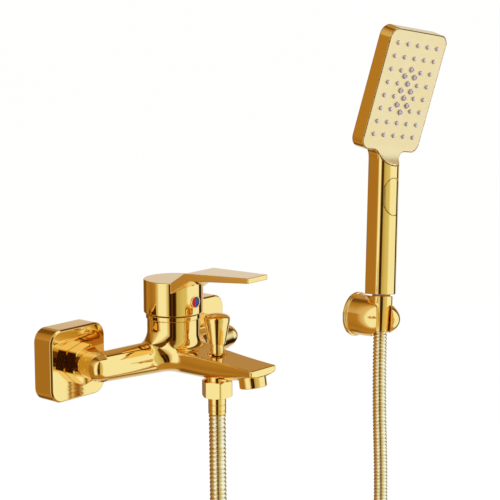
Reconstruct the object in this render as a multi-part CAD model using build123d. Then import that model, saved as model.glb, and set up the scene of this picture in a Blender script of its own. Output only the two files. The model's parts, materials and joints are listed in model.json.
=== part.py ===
"""Wall mounted bath mixer with a lever, a pull-up diverter, a hose, a hand shower and its wall bracket.

All lengths are millimetres. X runs along the wall to the right, Y runs into the wall and Z is up.
The origin lies on the finished wall, midway between the two water inlets.
"""
from build123d import *
import math
import os

# ---------------------------------------------------------------- inlets, unions and escutcheons
inlet_spacing = 150.0
wall_thread_radius = 10.48
wall_thread_length = 15.0
union_thread_radius = 13.2
union_bore_radius = 7.5
union_shoulder_radius = 14.6
union_shoulder_length = 7.0
escutcheon_width = 60.6
escutcheon_depth = 20.5
escutcheon_corner_radius = 11.6
escutcheon_wall = 1.6
escutcheon_edge = 1.1
union_nut_flats = 30.0
union_nut_height = 10.8
union_nut_edge = 1.6
union_nut_lip = 1.6
union_nut_turn = -14.0
nut_bevel_share = 0.6
inlet_washer_thickness = 2.0
inlet_collar_thickness = 1.8
inlet_tail_radius = 10.2
strainer_depth = 5.0
strainer_wall = 1.0
running_gap = 0.3
fit_gap = 0.1

# ---------------------------------------------------------------- mixer body
elbow_reach = 45.3
arm_radius = 12.4
arm_root_radius = 14.2
housing_reach = 57.2
housing_radius = 22.3
housing_top = 31.0
bowl_top = 3.0
bowl_bottom = -15.2
arm_end_gap = 4.0
arm_blend = 9.0
waterway_radius = 5.5
chamber_radius = 17.9
chamber_floor = -3.0

# ---------------------------------------------------------------- spout
spout_reach = 156.4
spout_root_half_width = 20.5
spout_root_top = 10.0
spout_root_side = 1.0
spout_middle_reach = 101.0
spout_middle_half_width = 17.8
spout_middle_top = 6.6
spout_middle_side = 1.6
spout_middle_bottom = -14.4
spout_front_reach = 131.0
spout_front_half_width = 15.6
spout_front_top = 4.5
spout_front_side = 2.6
spout_front_bottom = -11.2
spout_waterway_share = 0.22
spout_tip_half_width = 16.0
spout_tip_top = 2.7
spout_tip_side = 4.2
spout_tip_bottom = -4.4
aerator_reach = 143.0
aerator_tilt = 10.0
aerator_radius = 11.4
aerator_wall = 1.5
aerator_top = -1.6
aerator_length = 13.2
aerator_lip = 1.2
aerator_edge = 0.6
aerator_insert_height = 6.0
aerator_insert_wall = 1.2
aerator_insert_floor = 1.6
aerator_hole_radius = 0.9
aerator_hole_rings = 3
aerator_hole_border = 2.2
aerator_washer_thickness = 1.6
aerator_washer_width = 2.2

# ---------------------------------------------------------------- cartridge
cartridge_radius = 17.4
cartridge_wall = 1.6
cartridge_neck_radius = 15.4
cartridge_shoulder = 23.5
cartridge_top = 33.2
cartridge_seal_thickness = 2.0
fixed_disc_radius = 15.2
disc_thickness = 3.6
moving_disc_radius = 9.2
mixing_pocket_share = 0.6
driver_top = 14.0
port_radius = 2.6
tilt_axis_height = 29.0
stem_width = 8.0
stem_foot = 9.6
stem_foot_depth = 6.4
stem_top = 57.0
stem_mouth_gap = 0.9
stem_pin_radius = 1.5
carrier_radius = 13.4
carrier_web = 2.5
retaining_nut_thickness = 6.0
retaining_thread_radius = 19.0
trim_ring_radius = 23.3
trim_ring_height = 4.2
trim_ring_lip = 1.3

# ---------------------------------------------------------------- lever handle
cap_radius = 25.1
cap_bottom = 36.0
cap_top = 64.2
cap_wall = 1.4
cap_edge = 1.0
cap_roof = 11.0
hub_radius = 8.5
hub_bottom = 43.0
lever_reach = 150.0
lever_fold_reach = 86.6
lever_fold_top = 74.2
lever_tip_top = 77.0
lever_tip_thickness = 4.3
lever_knee_reach = 92.5
lever_knee_bottom = 68.2
lever_root_reach = 72.0
lever_root_half_width = 19.7
lever_root_bottom = 55.2
lever_tip_half_width = 12.1
indicator_height = 47.1
indicator_radius = 3.9
indicator_depth = 2.2
indicator_inset = 0.15
indicator_hole_depth = 2.8
grub_screw_radius = 2.4
grub_screw_room = 2.0
hex_key_radius = 1.25
hex_key_depth = 2.5

# ---------------------------------------------------------------- diverter
diverter_reach = 106.0
diverter_recess_radius = 8.2
diverter_recess_depth = 2.6
diverter_bore_radius = 7.4
bonnet_sleeve_radius = 4.7
bonnet_sleeve_top = 7.4
bonnet_foot = 1.6
rod_radius = 2.4
knob_neck_radius = 5.6
knob_shoulder_height = 15.6
knob_shoulder_radius = 7.1
knob_rim_radius = 10.9
knob_rim_height = 36.6
knob_dome = 4.4
plunger_radius = 6.6
plunger_thickness = 2.6
plunger_bottom = -10.6

# ---------------------------------------------------------------- outlet and hose
outlet_neck_radius = 8.9
outlet_thread_radius = 10.2
outlet_top = -11.2
outlet_neck_bottom = -17.0
outlet_bottom = -22.8
outlet_bore_radius = 5.5
hose_nut_flats = 22.6
hose_nut_top = -15.2
hose_nut_bottom = -28.8
hose_nut_edge = 1.4
hose_nut_lip = 1.8
hose_washer_thickness = 2.0
hose_diameter = 14.2
hose_wall = 0.9
ferrule_radius = 7.5
ferrule_wall = 2.6
ferrule_bottom = -43.7
hose_tail_flange_radius = 9.6
hose_tail_flange_thickness = 1.6
hose_points = [
    (0.0, -diverter_reach, -44.0), (2.0, -105.6, -190.0), (10.0, -104.0, -350.0), (54.0, -95.5, -490.0),
    (124.0, -82.0, -556.0), (211.0, -65.0, -556.0), (281.0, -51.5, -490.0), (323.6, -41.5, -355.0),
    (329.6, -39.8, -210.0)]
hose_straight_end = 58.0
hose_bend_share = 0.45

# ---------------------------------------------------------------- wall bracket
bracket_x = 335.3
bracket_z = -29.0
bracket_reach = 53.4
bracket_flange_radius = 22.9
bracket_flange_thickness = 3.2
bracket_edge = 0.8
bracket_barrel_radius = 20.9
bracket_shoulder_reach = 14.0
bracket_socket_reach = 31.5
bracket_back_depth = 12.0
bracket_back_radius = 17.5
bracket_slot_width = 15.2
bracket_slot_azimuth = 40.0
socket_mouth = 1.6
socket_mouth_rise = 0.5
base_plate_radius = 17.2
base_plate_thickness = 4.0
base_screw_spacing = 22.0
base_screw_radius = 2.2
base_boss_radius = 6.0
bracket_grub_radius = 2.0
bracket_grub_recess = 0.8

# ---------------------------------------------------------------- hand shower
handset_lean = 7.9
handset_tilt = 4.7
handset_turn = -4.2
handle_end_height = 24.2
handle_half_width = 14.4
handle_back = 10.5
handle_side_front = 1.5
handle_wall = 2.4
handle_corner = 3.0
handle_least_corner = 0.4
handle_height = 134.0
head_width = 90.4
head_height = 124.3
head_thickness = 14.6
head_corner = 11.0
head_tilt = 17.7
head_centre_height = 205.2
head_centre_reach = 24.2
head_wall = 2.0
neck_half_width = 14.4
neck_length = 16.0
neck_blend = 11.0
neck_waterway_rise = 4.0
scoop_rise = 18.0
flare_height = 4.0
plate_thickness = 1.6
plate_border = 1.2
nozzle_radius = 1.9
nozzle_height = 1.8
nozzle_columns = 5
nozzle_rows = 8
nozzle_pitch_x = 15.6
nozzle_pitch_z = 13.4
nozzle_centre = 0.9
large_nozzle_radius = 2.5
large_nozzle_rows = 4
large_nozzle_pitch = 14.8
mat_thickness = 1.4
tray_wall = 2.0
button_width = 22.0
button_length = 39.0
button_height = 102.5
button_thickness = 3.0
button_travel = 2.0
button_gap = 0.35
button_spring_radius = 3.0
button_spring_clearance = 10.0
waterway_tube_radius = 4.5
waterway_tube_wall = 1.2
waterway_tube_offset = 3.4
cone_top_radius = 11.8
cone_top_length = 7.4
cone_bottom_radius = 9.0
cone_length = 38.0
cone_washer_thickness = 1.7
cone_seat_depth = 17.0
cone_bore_radius = 5.7
swivel_gap = 0.06
swivel_bore_radius = 3.6
swivel_flange_radius = 8.0
swivel_flange_thickness = 1.6
cone_washer_radius = 9.3
inlet_tail_depth = 13.0
handset_thread_radius = 8.4

# ---------------------------------------------------------------- places worked out from the sizes
half_spacing = inlet_spacing / 2
escutcheon_front = -escutcheon_depth
union_nut_back = escutcheon_front - running_gap
union_nut_front = union_nut_back - union_nut_height
inlet_collar_front = union_nut_front + union_nut_lip
inlet_collar_back = inlet_collar_front + inlet_collar_thickness
union_front = inlet_collar_back + inlet_washer_thickness
housing_y = -housing_reach
diverter_y = -diverter_reach
room = (0, -1, 0)
hose_radius = hose_diameter / 2
knob_bottom = bonnet_sleeve_top + running_gap


def rod(radius, length, origin, direction=(0, 0, 1)):
    """A plain cylinder that starts at origin and runs along direction."""
    return Part() + Solid.make_cylinder(radius, length, Plane(origin=origin, z_dir=direction))


def cone(start_radius, end_radius, length, origin, direction=(0, 0, 1)):
    """A cone or frustum that starts at origin and runs along direction."""
    return Part() + Solid.make_cone(start_radius, end_radius, length, Plane(origin=origin, z_dir=direction))


def turned(points):
    """A solid turned about Z from the (radius, height) corners of its half section."""
    section = make_face(Polyline(*points, close=True))
    return revolve(Plane.XZ * section, axis=Axis.Z)


def dome_arcs(radius, base, rise):
    """Two tangent arcs close to a quarter ellipse, from the rim of a half section to its axis."""
    way = math.copysign(1, rise)
    height = abs(rise)
    side_radius = height * (radius + height) / (2 * radius)
    pole_radius = radius ** 2 / height
    joint = math.degrees(math.atan2(2 * radius * (radius + height), height * (height + 2 * radius)))
    side = CenterArc((radius - side_radius, base), side_radius, 0, way * joint)
    pole = CenterArc((0, base + way * (height - pole_radius)), pole_radius, way * joint, way * (90 - joint))
    return [side, pole]


def hexagon_bar(flats, height, edge):
    """A hexagon bar along +Z from Z = 0, with both ends bevelled as on a turned nut."""
    bar = extrude(RegularPolygon(flats / 2, 6, major_radius=False), height)
    corner = flats / math.sqrt(3)
    bevel_height = edge * nut_bevel_share
    bevel = turned([(0, 0), (corner - edge, 0), (corner, bevel_height), (corner, height - bevel_height),
                    (corner - edge, height), (0, height)])
    return bar & bevel


# ---------------------------------------------------------------- wall side pieces

def wall_union(side):
    """Straight connector from the wall thread to the union nut, hidden by the escutcheon."""
    x = side * half_spacing
    shape = rod(wall_thread_radius, wall_thread_length, (x, 0, 0), (0, 1, 0))
    shape += rod(union_shoulder_radius, union_shoulder_length, (x, 0, 0), room)
    shape += rod(union_thread_radius, -union_front, (x, 0, 0), room)
    bore_length = wall_thread_length - union_front
    return shape - rod(union_bore_radius, bore_length, (x, wall_thread_length, 0), room)


def escutcheon(side):
    """Square pressed cover with round corners, open at the wall."""
    place = Pos(side * half_spacing, 0, 0) * Plane.XZ
    outline = RectangleRounded(escutcheon_width, escutcheon_width, escutcheon_corner_radius)
    cover = extrude(place * outline, escutcheon_depth)
    front = cover.faces().sort_by(Axis.Y)[0]
    cover = chamfer(front.edges(), escutcheon_edge)
    inner_width = escutcheon_width - 2 * escutcheon_wall
    inner = RectangleRounded(inner_width, inner_width, escutcheon_corner_radius - escutcheon_wall)
    cover -= extrude(place * inner, escutcheon_depth - escutcheon_wall)
    hole = union_thread_radius + running_gap
    return cover - rod(hole, escutcheon_depth + 1, (side * half_spacing, 0, 0), room)


def union_nut(side):
    """Captive hexagon nut that pulls the mixer's inlet onto the washer."""
    nut = hexagon_bar(union_nut_flats, union_nut_height, union_nut_edge)
    thread_depth = union_nut_height - union_nut_lip
    nut -= rod(union_thread_radius + fit_gap, thread_depth, (0, 0, 0))
    nut -= rod(inlet_tail_radius + running_gap, union_nut_height, (0, 0, 0))
    place = Plane(origin=(side * half_spacing, union_nut_back, 0), x_dir=(1, 0, 0), z_dir=room)
    return place * (Rot(Z=union_nut_turn) * nut)


def inlet_washer(side):
    """Flat fibre washer between the connector and the mixer's inlet collar."""
    x = side * half_spacing
    washer = rod(union_thread_radius - fit_gap, inlet_washer_thickness, (x, union_front, 0), room)
    return washer - rod(union_bore_radius, inlet_washer_thickness, (x, union_front, 0), room)


def inlet_strainer(side):
    """Dished strainer seated in the bore of the connector."""
    x = side * half_spacing
    radius = union_bore_radius - fit_gap
    cup = rod(radius, strainer_depth, (x, union_front, 0), (0, 1, 0))
    return cup - rod(radius - strainer_wall, strainer_depth - strainer_wall, (x, union_front, 0), (0, 1, 0))


# ---------------------------------------------------------------- mixer body

def arm(side):
    """One arm, from the round elbow at the inlet to the middle of the body."""
    elbow = Vector(side * half_spacing, -elbow_reach, 0)
    middle = Vector(0, housing_y, 0)
    run = middle - elbow
    direction = run.normalized()
    shape = cone(arm_radius, arm_root_radius, run.length - arm_end_gap, elbow, direction)
    shape += Pos(elbow.X, elbow.Y, elbow.Z) * Sphere(arm_radius)
    tail = elbow_reach + inlet_collar_front
    shape += rod(inlet_tail_radius, tail, elbow, (0, 1, 0))
    collar = (elbow.X, inlet_collar_front, 0)
    shape += rod(union_thread_radius - fit_gap, inlet_collar_thickness, collar, (0, 1, 0))
    return shape


def housing():
    """Upright cylinder for the cartridge, closed below by an elliptical bowl."""
    bowl = dome_arcs(housing_radius, bowl_top, bowl_bottom - bowl_top)
    wall = Polyline((0, bowl_bottom), (0, housing_top), (housing_radius, housing_top),
                    (housing_radius, bowl_top))
    section = make_face([*bowl, *wall.edges()])
    return Pos(0, housing_y, 0) * revolve(Plane.XZ * section, axis=Axis.Z)


def spout_section(reach, half_width, top, side, bottom):
    """Section of the spout: flat top, short upright sides and a half ellipse below."""
    rim = top - side
    upper = Polyline((-half_width, rim), (-half_width, top), (half_width, top), (half_width, rim))
    belly = EllipticalCenterArc((0, rim), half_width, rim - bottom, start_angle=180, arc_size=180)
    plane = Plane(origin=(0, -reach, 0), x_dir=(1, 0, 0), z_dir=room)
    return plane * make_face([*upper.edges(), belly])


def spout():
    """Blade spout that gets thinner towards its straight front edge."""
    shape = loft([
        spout_section(housing_reach, spout_root_half_width, spout_root_top, spout_root_side, bowl_bottom),
        spout_section(spout_middle_reach, spout_middle_half_width, spout_middle_top, spout_middle_side,
                      spout_middle_bottom),
        spout_section(spout_front_reach, spout_front_half_width, spout_front_top, spout_front_side,
                      spout_front_bottom),
        spout_section(spout_reach, spout_tip_half_width, spout_tip_top, spout_tip_side,
                      spout_tip_bottom)])
    return Part() + shape


def aerator_plane():
    """Plane at the top of the aerator, facing down its tilted axis."""
    tilt = math.radians(aerator_tilt)
    return Plane(origin=(0, -aerator_reach, aerator_top), x_dir=(1, 0, 0),
                 z_dir=(0, -math.sin(tilt), -math.cos(tilt)))


def water_passages():
    """Drillings that join the inlets, the cartridge chamber, the diverter and the aerator."""
    cuts = rod(chamber_radius, housing_top - chamber_floor + 1, (0, housing_y, chamber_floor))
    seat = retaining_thread_radius + fit_gap
    cuts += rod(seat, housing_top - cartridge_shoulder + 1, (0, housing_y, cartridge_shoulder))
    for side in (-1, 1):
        elbow = Vector(side * half_spacing, -elbow_reach, 0)
        run = Vector(0, housing_y, 0) - elbow
        cuts += rod(waterway_radius, run.length, elbow, run.normalized())
        cuts += rod(waterway_radius, elbow_reach, elbow, (0, 1, 0))
    diverter_height = spout_root_top - outlet_top
    cuts += rod(diverter_bore_radius, diverter_height, (0, diverter_y, outlet_top))
    recess_floor = diverter_deck() - diverter_recess_depth
    cuts += rod(diverter_recess_radius, spout_root_top, (0, diverter_y, recess_floor))
    neck_seat = outlet_neck_radius + fit_gap
    cuts += rod(neck_seat, outlet_top - bowl_bottom + 1, (0, diverter_y, bowl_bottom - 1))
    pocket = aerator_plane()
    cuts += pocket * rod(aerator_radius + fit_gap, aerator_length, (0, 0, 0))
    passage = Vector(0, -aerator_reach, aerator_top) - Vector(0, housing_y, chamber_floor)
    start = (0, housing_y, chamber_floor)
    cuts += rod(spout_waterway_radius(), passage.length, start, passage.normalized())
    return cuts


def spout_waterway_radius():
    """The passage along the spout stays inside its thinnest stretch."""
    return (spout_front_top - spout_front_bottom) * spout_waterway_share


def diverter_deck():
    """Height of the spout's flat top where the diverter stands."""
    share = (spout_front_reach - diverter_reach) / (spout_front_reach - spout_middle_reach)
    return spout_front_top + share * (spout_middle_top - spout_front_top)


def mixer_body():
    """Brass casting: two arms, the cartridge housing and the spout, with blended joints."""
    arms = arm(-1) + arm(1)
    tower = housing()
    body = arms + tower
    joint = new_edges(arms, tower, combined=body)
    body = fillet(joint.filter_by(lambda e: e.center().Z > 0), arm_blend)
    body += spout()
    return body - water_passages()


# ---------------------------------------------------------------- cartridge and its covers

def at_housing(shape):
    """Moves a piece that is drawn about Z onto the axis of the housing."""
    return Pos(0, housing_y, 0) * shape


cartridge_base = chamber_floor + cartridge_seal_thickness
fixed_disc_bottom = cartridge_base + cartridge_wall
moving_disc_bottom = fixed_disc_bottom + disc_thickness
driver_bottom = moving_disc_bottom + disc_thickness


def cartridge_seal():
    """Rubber seal with two inlets and one outlet under the cartridge."""
    seal = rod(cartridge_radius - 1, cartridge_seal_thickness, (0, 0, chamber_floor))
    return at_housing(seal - ports(chamber_floor, cartridge_seal_thickness))


def ports(bottom, height):
    """Three round water ports, evenly spaced about Z."""
    holes = Part()
    for turn in (90, 210, 330):
        holes += Rot(Z=turn) * rod(port_radius, height, (fixed_disc_radius / 2, 0, bottom))
    return holes


def cartridge_housing():
    """Plastic casing of the cartridge, with a floor, a shoulder and a narrower neck."""
    r, n, w = cartridge_radius, cartridge_neck_radius, cartridge_wall
    shoulder, top, base = cartridge_shoulder, cartridge_top, cartridge_base
    mouth = stem_width + stem_mouth_gap
    case = turned([
        (0, base), (r, base), (r, shoulder), (n, shoulder), (n, top), (mouth, top),
        (mouth, top - w), (n - w, top - w), (n - w, shoulder - w), (r - w, shoulder - w),
        (r - w, base + w), (0, base + w)])
    return at_housing(case - ports(base, w))


def fixed_disc():
    """Ceramic disc that lies still on the casing's floor."""
    disc = rod(fixed_disc_radius, disc_thickness, (0, 0, fixed_disc_bottom))
    return at_housing(disc - ports(fixed_disc_bottom, disc_thickness))


def moving_disc():
    """Ceramic disc that slides over the fixed one, with a mixing pocket below and a driver slot above."""
    disc = rod(moving_disc_radius, disc_thickness, (0, 0, moving_disc_bottom + fit_gap))
    pocket_radius = moving_disc_radius * mixing_pocket_share
    disc -= rod(pocket_radius, disc_thickness / 2, (0, 0, moving_disc_bottom + fit_gap))
    ring = rod(stem_width, driver_top - driver_bottom, (0, 0, driver_bottom + fit_gap))
    foot_room = stem_width + 2 * running_gap
    room_height = 2 * (driver_top - driver_bottom)
    ring -= Pos(0, 0, driver_top) * Box(foot_room, foot_room, room_height - 2)
    return at_housing(disc + ring)


def cartridge_carrier():
    """Turret that turns in the casing's neck and carries the stem's pin."""
    bottom = driver_top + fit_gap + running_gap
    top = cartridge_top - cartridge_wall - running_gap
    turret = rod(carrier_radius, top - bottom, (0, 0, bottom))
    slot_width = stem_width + 2 * running_gap
    slot_length = 2 * (carrier_radius - carrier_web)
    turret -= Pos(0, 0, (top + bottom) / 2) * Box(slot_width, slot_length, 2 * top)
    pin_hole = rod(stem_pin_radius, 2 * carrier_radius, (-carrier_radius, 0, tilt_axis_height), (1, 0, 0))
    return at_housing(turret - pin_hole)


def stem_pin():
    """Steel pin across the turret; the stem rocks on it."""
    length = 2 * carrier_radius - 2
    return at_housing(rod(stem_pin_radius, length, (-length / 2, 0, tilt_axis_height), (1, 0, 0)))


def lever_stem():
    """Square stem that joins the handle to the moving disc."""
    length = stem_top - stem_foot
    bar = Pos(0, 0, stem_foot + length / 2) * Box(stem_width, stem_width, length)
    waist = tilt_axis_height - stem_width - stem_foot
    for side in (-1, 1):
        bar -= Pos(0, side * (stem_foot_depth + stem_width) / 2, stem_foot) * Box(
            2 * stem_width, stem_width, 2 * waist)
    hole = stem_pin_radius + fit_gap / 2
    bar -= rod(hole, 2 * stem_width, (-stem_width, 0, tilt_axis_height), (1, 0, 0))
    return at_housing(bar)


def retaining_nut():
    """Brass ring nut that clamps the cartridge's shoulder into the housing."""
    bottom = cartridge_shoulder + fit_gap
    nut = rod(retaining_thread_radius, retaining_nut_thickness, (0, 0, bottom))
    return at_housing(nut - rod(cartridge_neck_radius + fit_gap, retaining_nut_thickness, (0, 0, bottom)))


def trim_ring():
    """Polished ring over the nut, which shows as a thin band under the handle."""
    bottom = housing_top + fit_gap
    top = bottom + trim_ring_height
    inner = cartridge_neck_radius + running_gap
    bore = retaining_thread_radius + fit_gap
    ring = turned([
        (bore, bottom), (trim_ring_radius, bottom), (trim_ring_radius, top), (inner, top),
        (inner, top - trim_ring_lip), (bore, top - trim_ring_lip)])
    return at_housing(ring)


# ---------------------------------------------------------------- handle

def lever_blade():
    """Folded blade: it rises from the cap's front and then runs out almost level, narrowing to its tip."""
    inside = housing_reach + hub_radius
    rise = (lever_knee_bottom - lever_root_bottom) / (lever_knee_reach - lever_root_reach)
    inner_bottom = cap_top - cap_roof
    inner_reach = lever_root_reach - (lever_root_bottom - inner_bottom) / rise
    side_view = Polyline(
        (-inside, cap_top), (-lever_root_reach, cap_top), (-lever_fold_reach, lever_fold_top),
        (-lever_reach, lever_tip_top), (-lever_reach, lever_tip_top - lever_tip_thickness),
        (-lever_knee_reach, lever_knee_bottom), (-inner_reach, inner_bottom), (-inside, inner_bottom),
        close=True)
    width = 2 * lever_root_half_width
    slab = extrude(Plane.YZ * make_face(side_view), width, both=True)
    narrowing = (lever_root_half_width - lever_tip_half_width) / (lever_reach - lever_root_reach)
    inside_half = lever_root_half_width + narrowing * (lever_root_reach - inside)
    plan = make_face(Polyline(
        (-inside_half, -inside), (-lever_tip_half_width, -lever_reach),
        (lever_tip_half_width, -lever_reach), (inside_half, -inside), close=True))
    return slab & extrude(plan, lever_fold_top * 2)


def handle():
    """Round cap with the lever blade, hollow below round a hub for the stem."""
    hollow_top = cap_top - cap_roof
    inner = cap_radius - cap_wall
    cap = rod(cap_radius, cap_top - cap_bottom, (0, 0, cap_bottom))
    cap = chamfer(cap.faces().sort_by(Axis.Z)[0].edges(), cap_edge)
    cap -= rod(inner, hollow_top - cap_bottom, (0, 0, cap_bottom))
    hub = rod(hub_radius, hollow_top - hub_bottom, (0, 0, hub_bottom))
    web = Pos(0, -cap_radius / 2, (hollow_top + hub_bottom) / 2)
    web *= Box(hub_radius, cap_radius - cap_wall, hollow_top - hub_bottom)
    shape = at_housing(cap + hub + web) + lever_blade()
    socket_depth = stem_top + running_gap - hub_bottom
    socket_width = stem_width + 2 * fit_gap
    socket = Pos(0, 0, hub_bottom + socket_depth / 2) * Box(socket_width, socket_width, socket_depth)
    front = (0, -cap_radius - 1, indicator_height)
    hole = rod(grub_screw_radius + fit_gap, cap_radius, front, (0, 1, 0))
    hole += rod(indicator_radius + fit_gap, 1 + indicator_hole_depth, front, (0, 1, 0))
    return shape - at_housing(socket + hole)


def handle_grub_screw():
    """Socket screw that locks the handle on the stem."""
    start = -stem_width / 2 - fit_gap
    length = cap_radius - stem_width / 2 - indicator_depth - grub_screw_room
    screw = rod(grub_screw_radius, length, (0, start, indicator_height), room)
    tool = extrude(Plane(origin=(0, start - length, indicator_height), z_dir=(0, 1, 0))
                   * RegularPolygon(hex_key_radius, 6), hex_key_depth)
    return at_housing(screw - tool)


def indicator_half(side):
    """One half of the round hot and cold mark in front of the grub screw."""
    front = -cap_radius + indicator_inset
    disc = rod(indicator_radius, indicator_depth, (0, front + indicator_depth, indicator_height), room)
    half = Pos(side * indicator_radius, front, indicator_height) * Box(
        2 * indicator_radius, 4 * indicator_depth, 4 * indicator_radius)
    return at_housing(disc & half)


# ---------------------------------------------------------------- diverter

def diverter_bonnet():
    """Guide bush screwed into the spout; its sleeve shows under the knob."""
    floor = diverter_deck() - diverter_recess_depth
    bush = rod(bonnet_sleeve_radius, bonnet_sleeve_top - bonnet_foot, (0, 0, bonnet_foot))
    bush += rod(diverter_bore_radius - fit_gap, floor - bonnet_foot, (0, 0, bonnet_foot))
    bush -= rod(rod_radius + fit_gap, bonnet_sleeve_top - bonnet_foot, (0, 0, bonnet_foot))
    return Pos(0, diverter_y, 0) * bush


def diverter_knob():
    """Tapered pull knob with a domed top and a slimmer neck."""
    rest = Polyline((0, knob_rim_height + knob_dome), (0, knob_bottom), (knob_neck_radius, knob_bottom),
                    (knob_neck_radius, knob_shoulder_height), (knob_shoulder_radius, knob_shoulder_height),
                    (knob_rim_radius, knob_rim_height))
    dome = dome_arcs(knob_rim_radius, knob_rim_height, knob_dome)
    knob = revolve(Plane.XZ * make_face([*dome, *rest.edges()]), axis=Axis.Z)
    knob -= rod(rod_radius + fit_gap, knob_shoulder_height, (0, 0, knob_bottom))
    return Pos(0, diverter_y, 0) * knob


def diverter_rod():
    """Steel rod from the knob down to the plunger."""
    bottom = plunger_bottom + fit_gap
    length = knob_bottom + knob_shoulder_height - bottom
    return rod(rod_radius, length, (0, diverter_y, bottom))


def diverter_plunger():
    """Rubber-faced valve disc at the foot of the rod."""
    disc = rod(plunger_radius, plunger_thickness, (0, 0, plunger_bottom))
    disc -= rod(rod_radius + fit_gap, plunger_thickness - fit_gap, (0, 0, plunger_bottom + fit_gap))
    return Pos(0, diverter_y, 0) * disc


# ---------------------------------------------------------------- aerator

def aerator_housing():
    """Short metal sleeve screwed into the spout's underside."""
    sleeve = rod(aerator_radius, aerator_length, (0, 0, 0))
    sleeve = chamfer(sleeve.faces().sort_by(Axis.Z)[-1].edges(), aerator_edge)
    sleeve -= rod(aerator_radius - aerator_wall, aerator_length, (0, 0, 0))
    lip = aerator_length - aerator_lip
    sleeve += rod(aerator_radius - aerator_wall / 2, aerator_lip - aerator_edge, (0, 0, lip))
    sleeve -= rod(aerator_radius - 2 * aerator_wall, aerator_length, (0, 0, 0))
    return aerator_plane() * sleeve


def aerator_insert():
    """Plastic stream former with rings of small holes."""
    radius = aerator_radius - aerator_wall - fit_gap
    top = aerator_length - aerator_lip - fit_gap - aerator_insert_height
    insert = rod(radius, aerator_insert_height, (0, 0, top))
    insert -= rod(radius - aerator_insert_wall, aerator_insert_height - aerator_insert_floor, (0, 0, top))
    for ring in range(1, aerator_hole_rings + 1):
        circle = ring * (radius - aerator_hole_border) / aerator_hole_rings
        insert -= PolarLocations(circle, 6) * rod(aerator_hole_radius, aerator_insert_height, (0, 0, top))
    return aerator_plane() * insert


def aerator_washer():
    """Rubber washer that seals the sleeve in the spout."""
    thickness = aerator_washer_thickness
    radius = aerator_radius - aerator_wall - fit_gap
    top = aerator_length - aerator_lip - 2 * fit_gap - aerator_insert_height - thickness
    washer = rod(radius, thickness, (0, 0, top))
    washer -= rod(radius - aerator_washer_width, thickness, (0, 0, top))
    return aerator_plane() * washer


# ---------------------------------------------------------------- outlet and hose ends

def outlet_nipple():
    """Threaded nipple under the spout that the hose nut screws onto."""
    neck = rod(outlet_neck_radius, outlet_top - outlet_neck_bottom, (0, 0, outlet_neck_bottom))
    neck += rod(outlet_thread_radius, outlet_neck_bottom - outlet_bottom, (0, 0, outlet_bottom))
    neck -= rod(outlet_bore_radius, outlet_top - outlet_bottom, (0, 0, outlet_bottom))
    return Pos(0, diverter_y, 0) * neck


def hose_nut():
    """Hexagon nut at the mixer's end of the hose."""
    height = hose_nut_top - hose_nut_bottom
    nut = hexagon_bar(hose_nut_flats, height, hose_nut_edge)
    nut -= rod(outlet_thread_radius + fit_gap, height - hose_nut_lip, (0, 0, hose_nut_lip))
    nut -= rod(ferrule_radius + fit_gap, height, (0, 0, 0))
    return Pos(0, diverter_y, hose_nut_bottom) * nut


def hose_washer():
    """Rubber washer between the nipple and the hose's tail."""
    bottom = outlet_bottom - hose_washer_thickness
    washer = rod(hose_tail_flange_radius, hose_washer_thickness, (0, 0, bottom))
    return Pos(0, diverter_y, 0) * (washer - rod(outlet_bore_radius, hose_washer_thickness, (0, 0, bottom)))


def hose_ferrule():
    """Crimped sleeve with a flange that the nut pulls up."""
    flange_top = outlet_bottom - hose_washer_thickness
    flange = rod(hose_tail_flange_radius, hose_tail_flange_thickness, (0, 0, flange_top), (0, 0, -1))
    sleeve = rod(ferrule_radius, flange_top - ferrule_bottom, (0, 0, ferrule_bottom))
    bore = rod(ferrule_radius - ferrule_wall, flange_top - ferrule_bottom, (0, 0, ferrule_bottom))
    return Pos(0, diverter_y, 0) * (flange + sleeve - bore)


def hose_route():
    """Straight runs joined by tangent arcs, from the ferrule down, round and up to the conical nut."""
    points = [Vector(*p) for p in hose_points]
    end = handset_point(0, 0, -cone_length - running_gap)
    points.append(handset_point(0, 0, -cone_length - hose_straight_end))
    points.append(end)
    radii = []
    for before, corner, after in zip(points, points[1:], points[2:]):
        turn = (corner - before).get_angle(after - corner)
        shorter = min((corner - before).length, (after - corner).length)
        radii.append(hose_bend_share * shorter / math.tan(math.radians(turn) / 2))
    print("hose radii", [round(r) for r in radii])
    return FilletPolyline(*points, radius=radii)


def shower_hose():
    """Flexible metal hose as a plain tube of its outer size."""
    path = hose_route()
    start = Plane(origin=path @ 0, z_dir=path % 0)
    inner_radius = hose_radius - hose_wall
    tube = sweep(start * (Circle(hose_radius) - Circle(inner_radius)), path=path)
    wanted = math.pi * (hose_radius ** 2 - inner_radius ** 2) * path.length
    print("hose length", round(path.length, 1), "volume share", round(tube.volume / wanted, 4))
    return tube


# ---------------------------------------------------------------- hand shower

def handset_place():
    """Place of the hand shower: the middle of its handle's end, leaning with the bracket's socket."""
    mid = Location((bracket_x, -bracket_socket_reach, bracket_z))
    lean = Rot(0, handset_lean, 0) * Rot(-handset_tilt, 0, 0)
    return mid * lean * Pos(0, 0, handle_end_height)


def handset_point(x, y, z):
    """A point given in the hand shower's own axes."""
    return (handset_place() * Pos(x, y, z)).position


def turned_handset_place():
    """The same place, turned about the hand shower's own axis."""
    return handset_place() * Rot(0, 0, handset_turn)


def handle_outline(inset=0.0):
    """Section of the grip: flat back and sides with a half round front."""
    w = handle_half_width - inset
    back = handle_back - inset
    side = -handle_side_front
    front = CenterArc((0, side), w, 180, 180)
    rest = Polyline((w, side), (w, back), (-w, back), (-w, side))
    face = make_face([front, *rest.edges()])
    rear = face.vertices().group_by(Axis.Y)[-1]
    return fillet(rear, max(handle_corner - inset, handle_least_corner))


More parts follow.
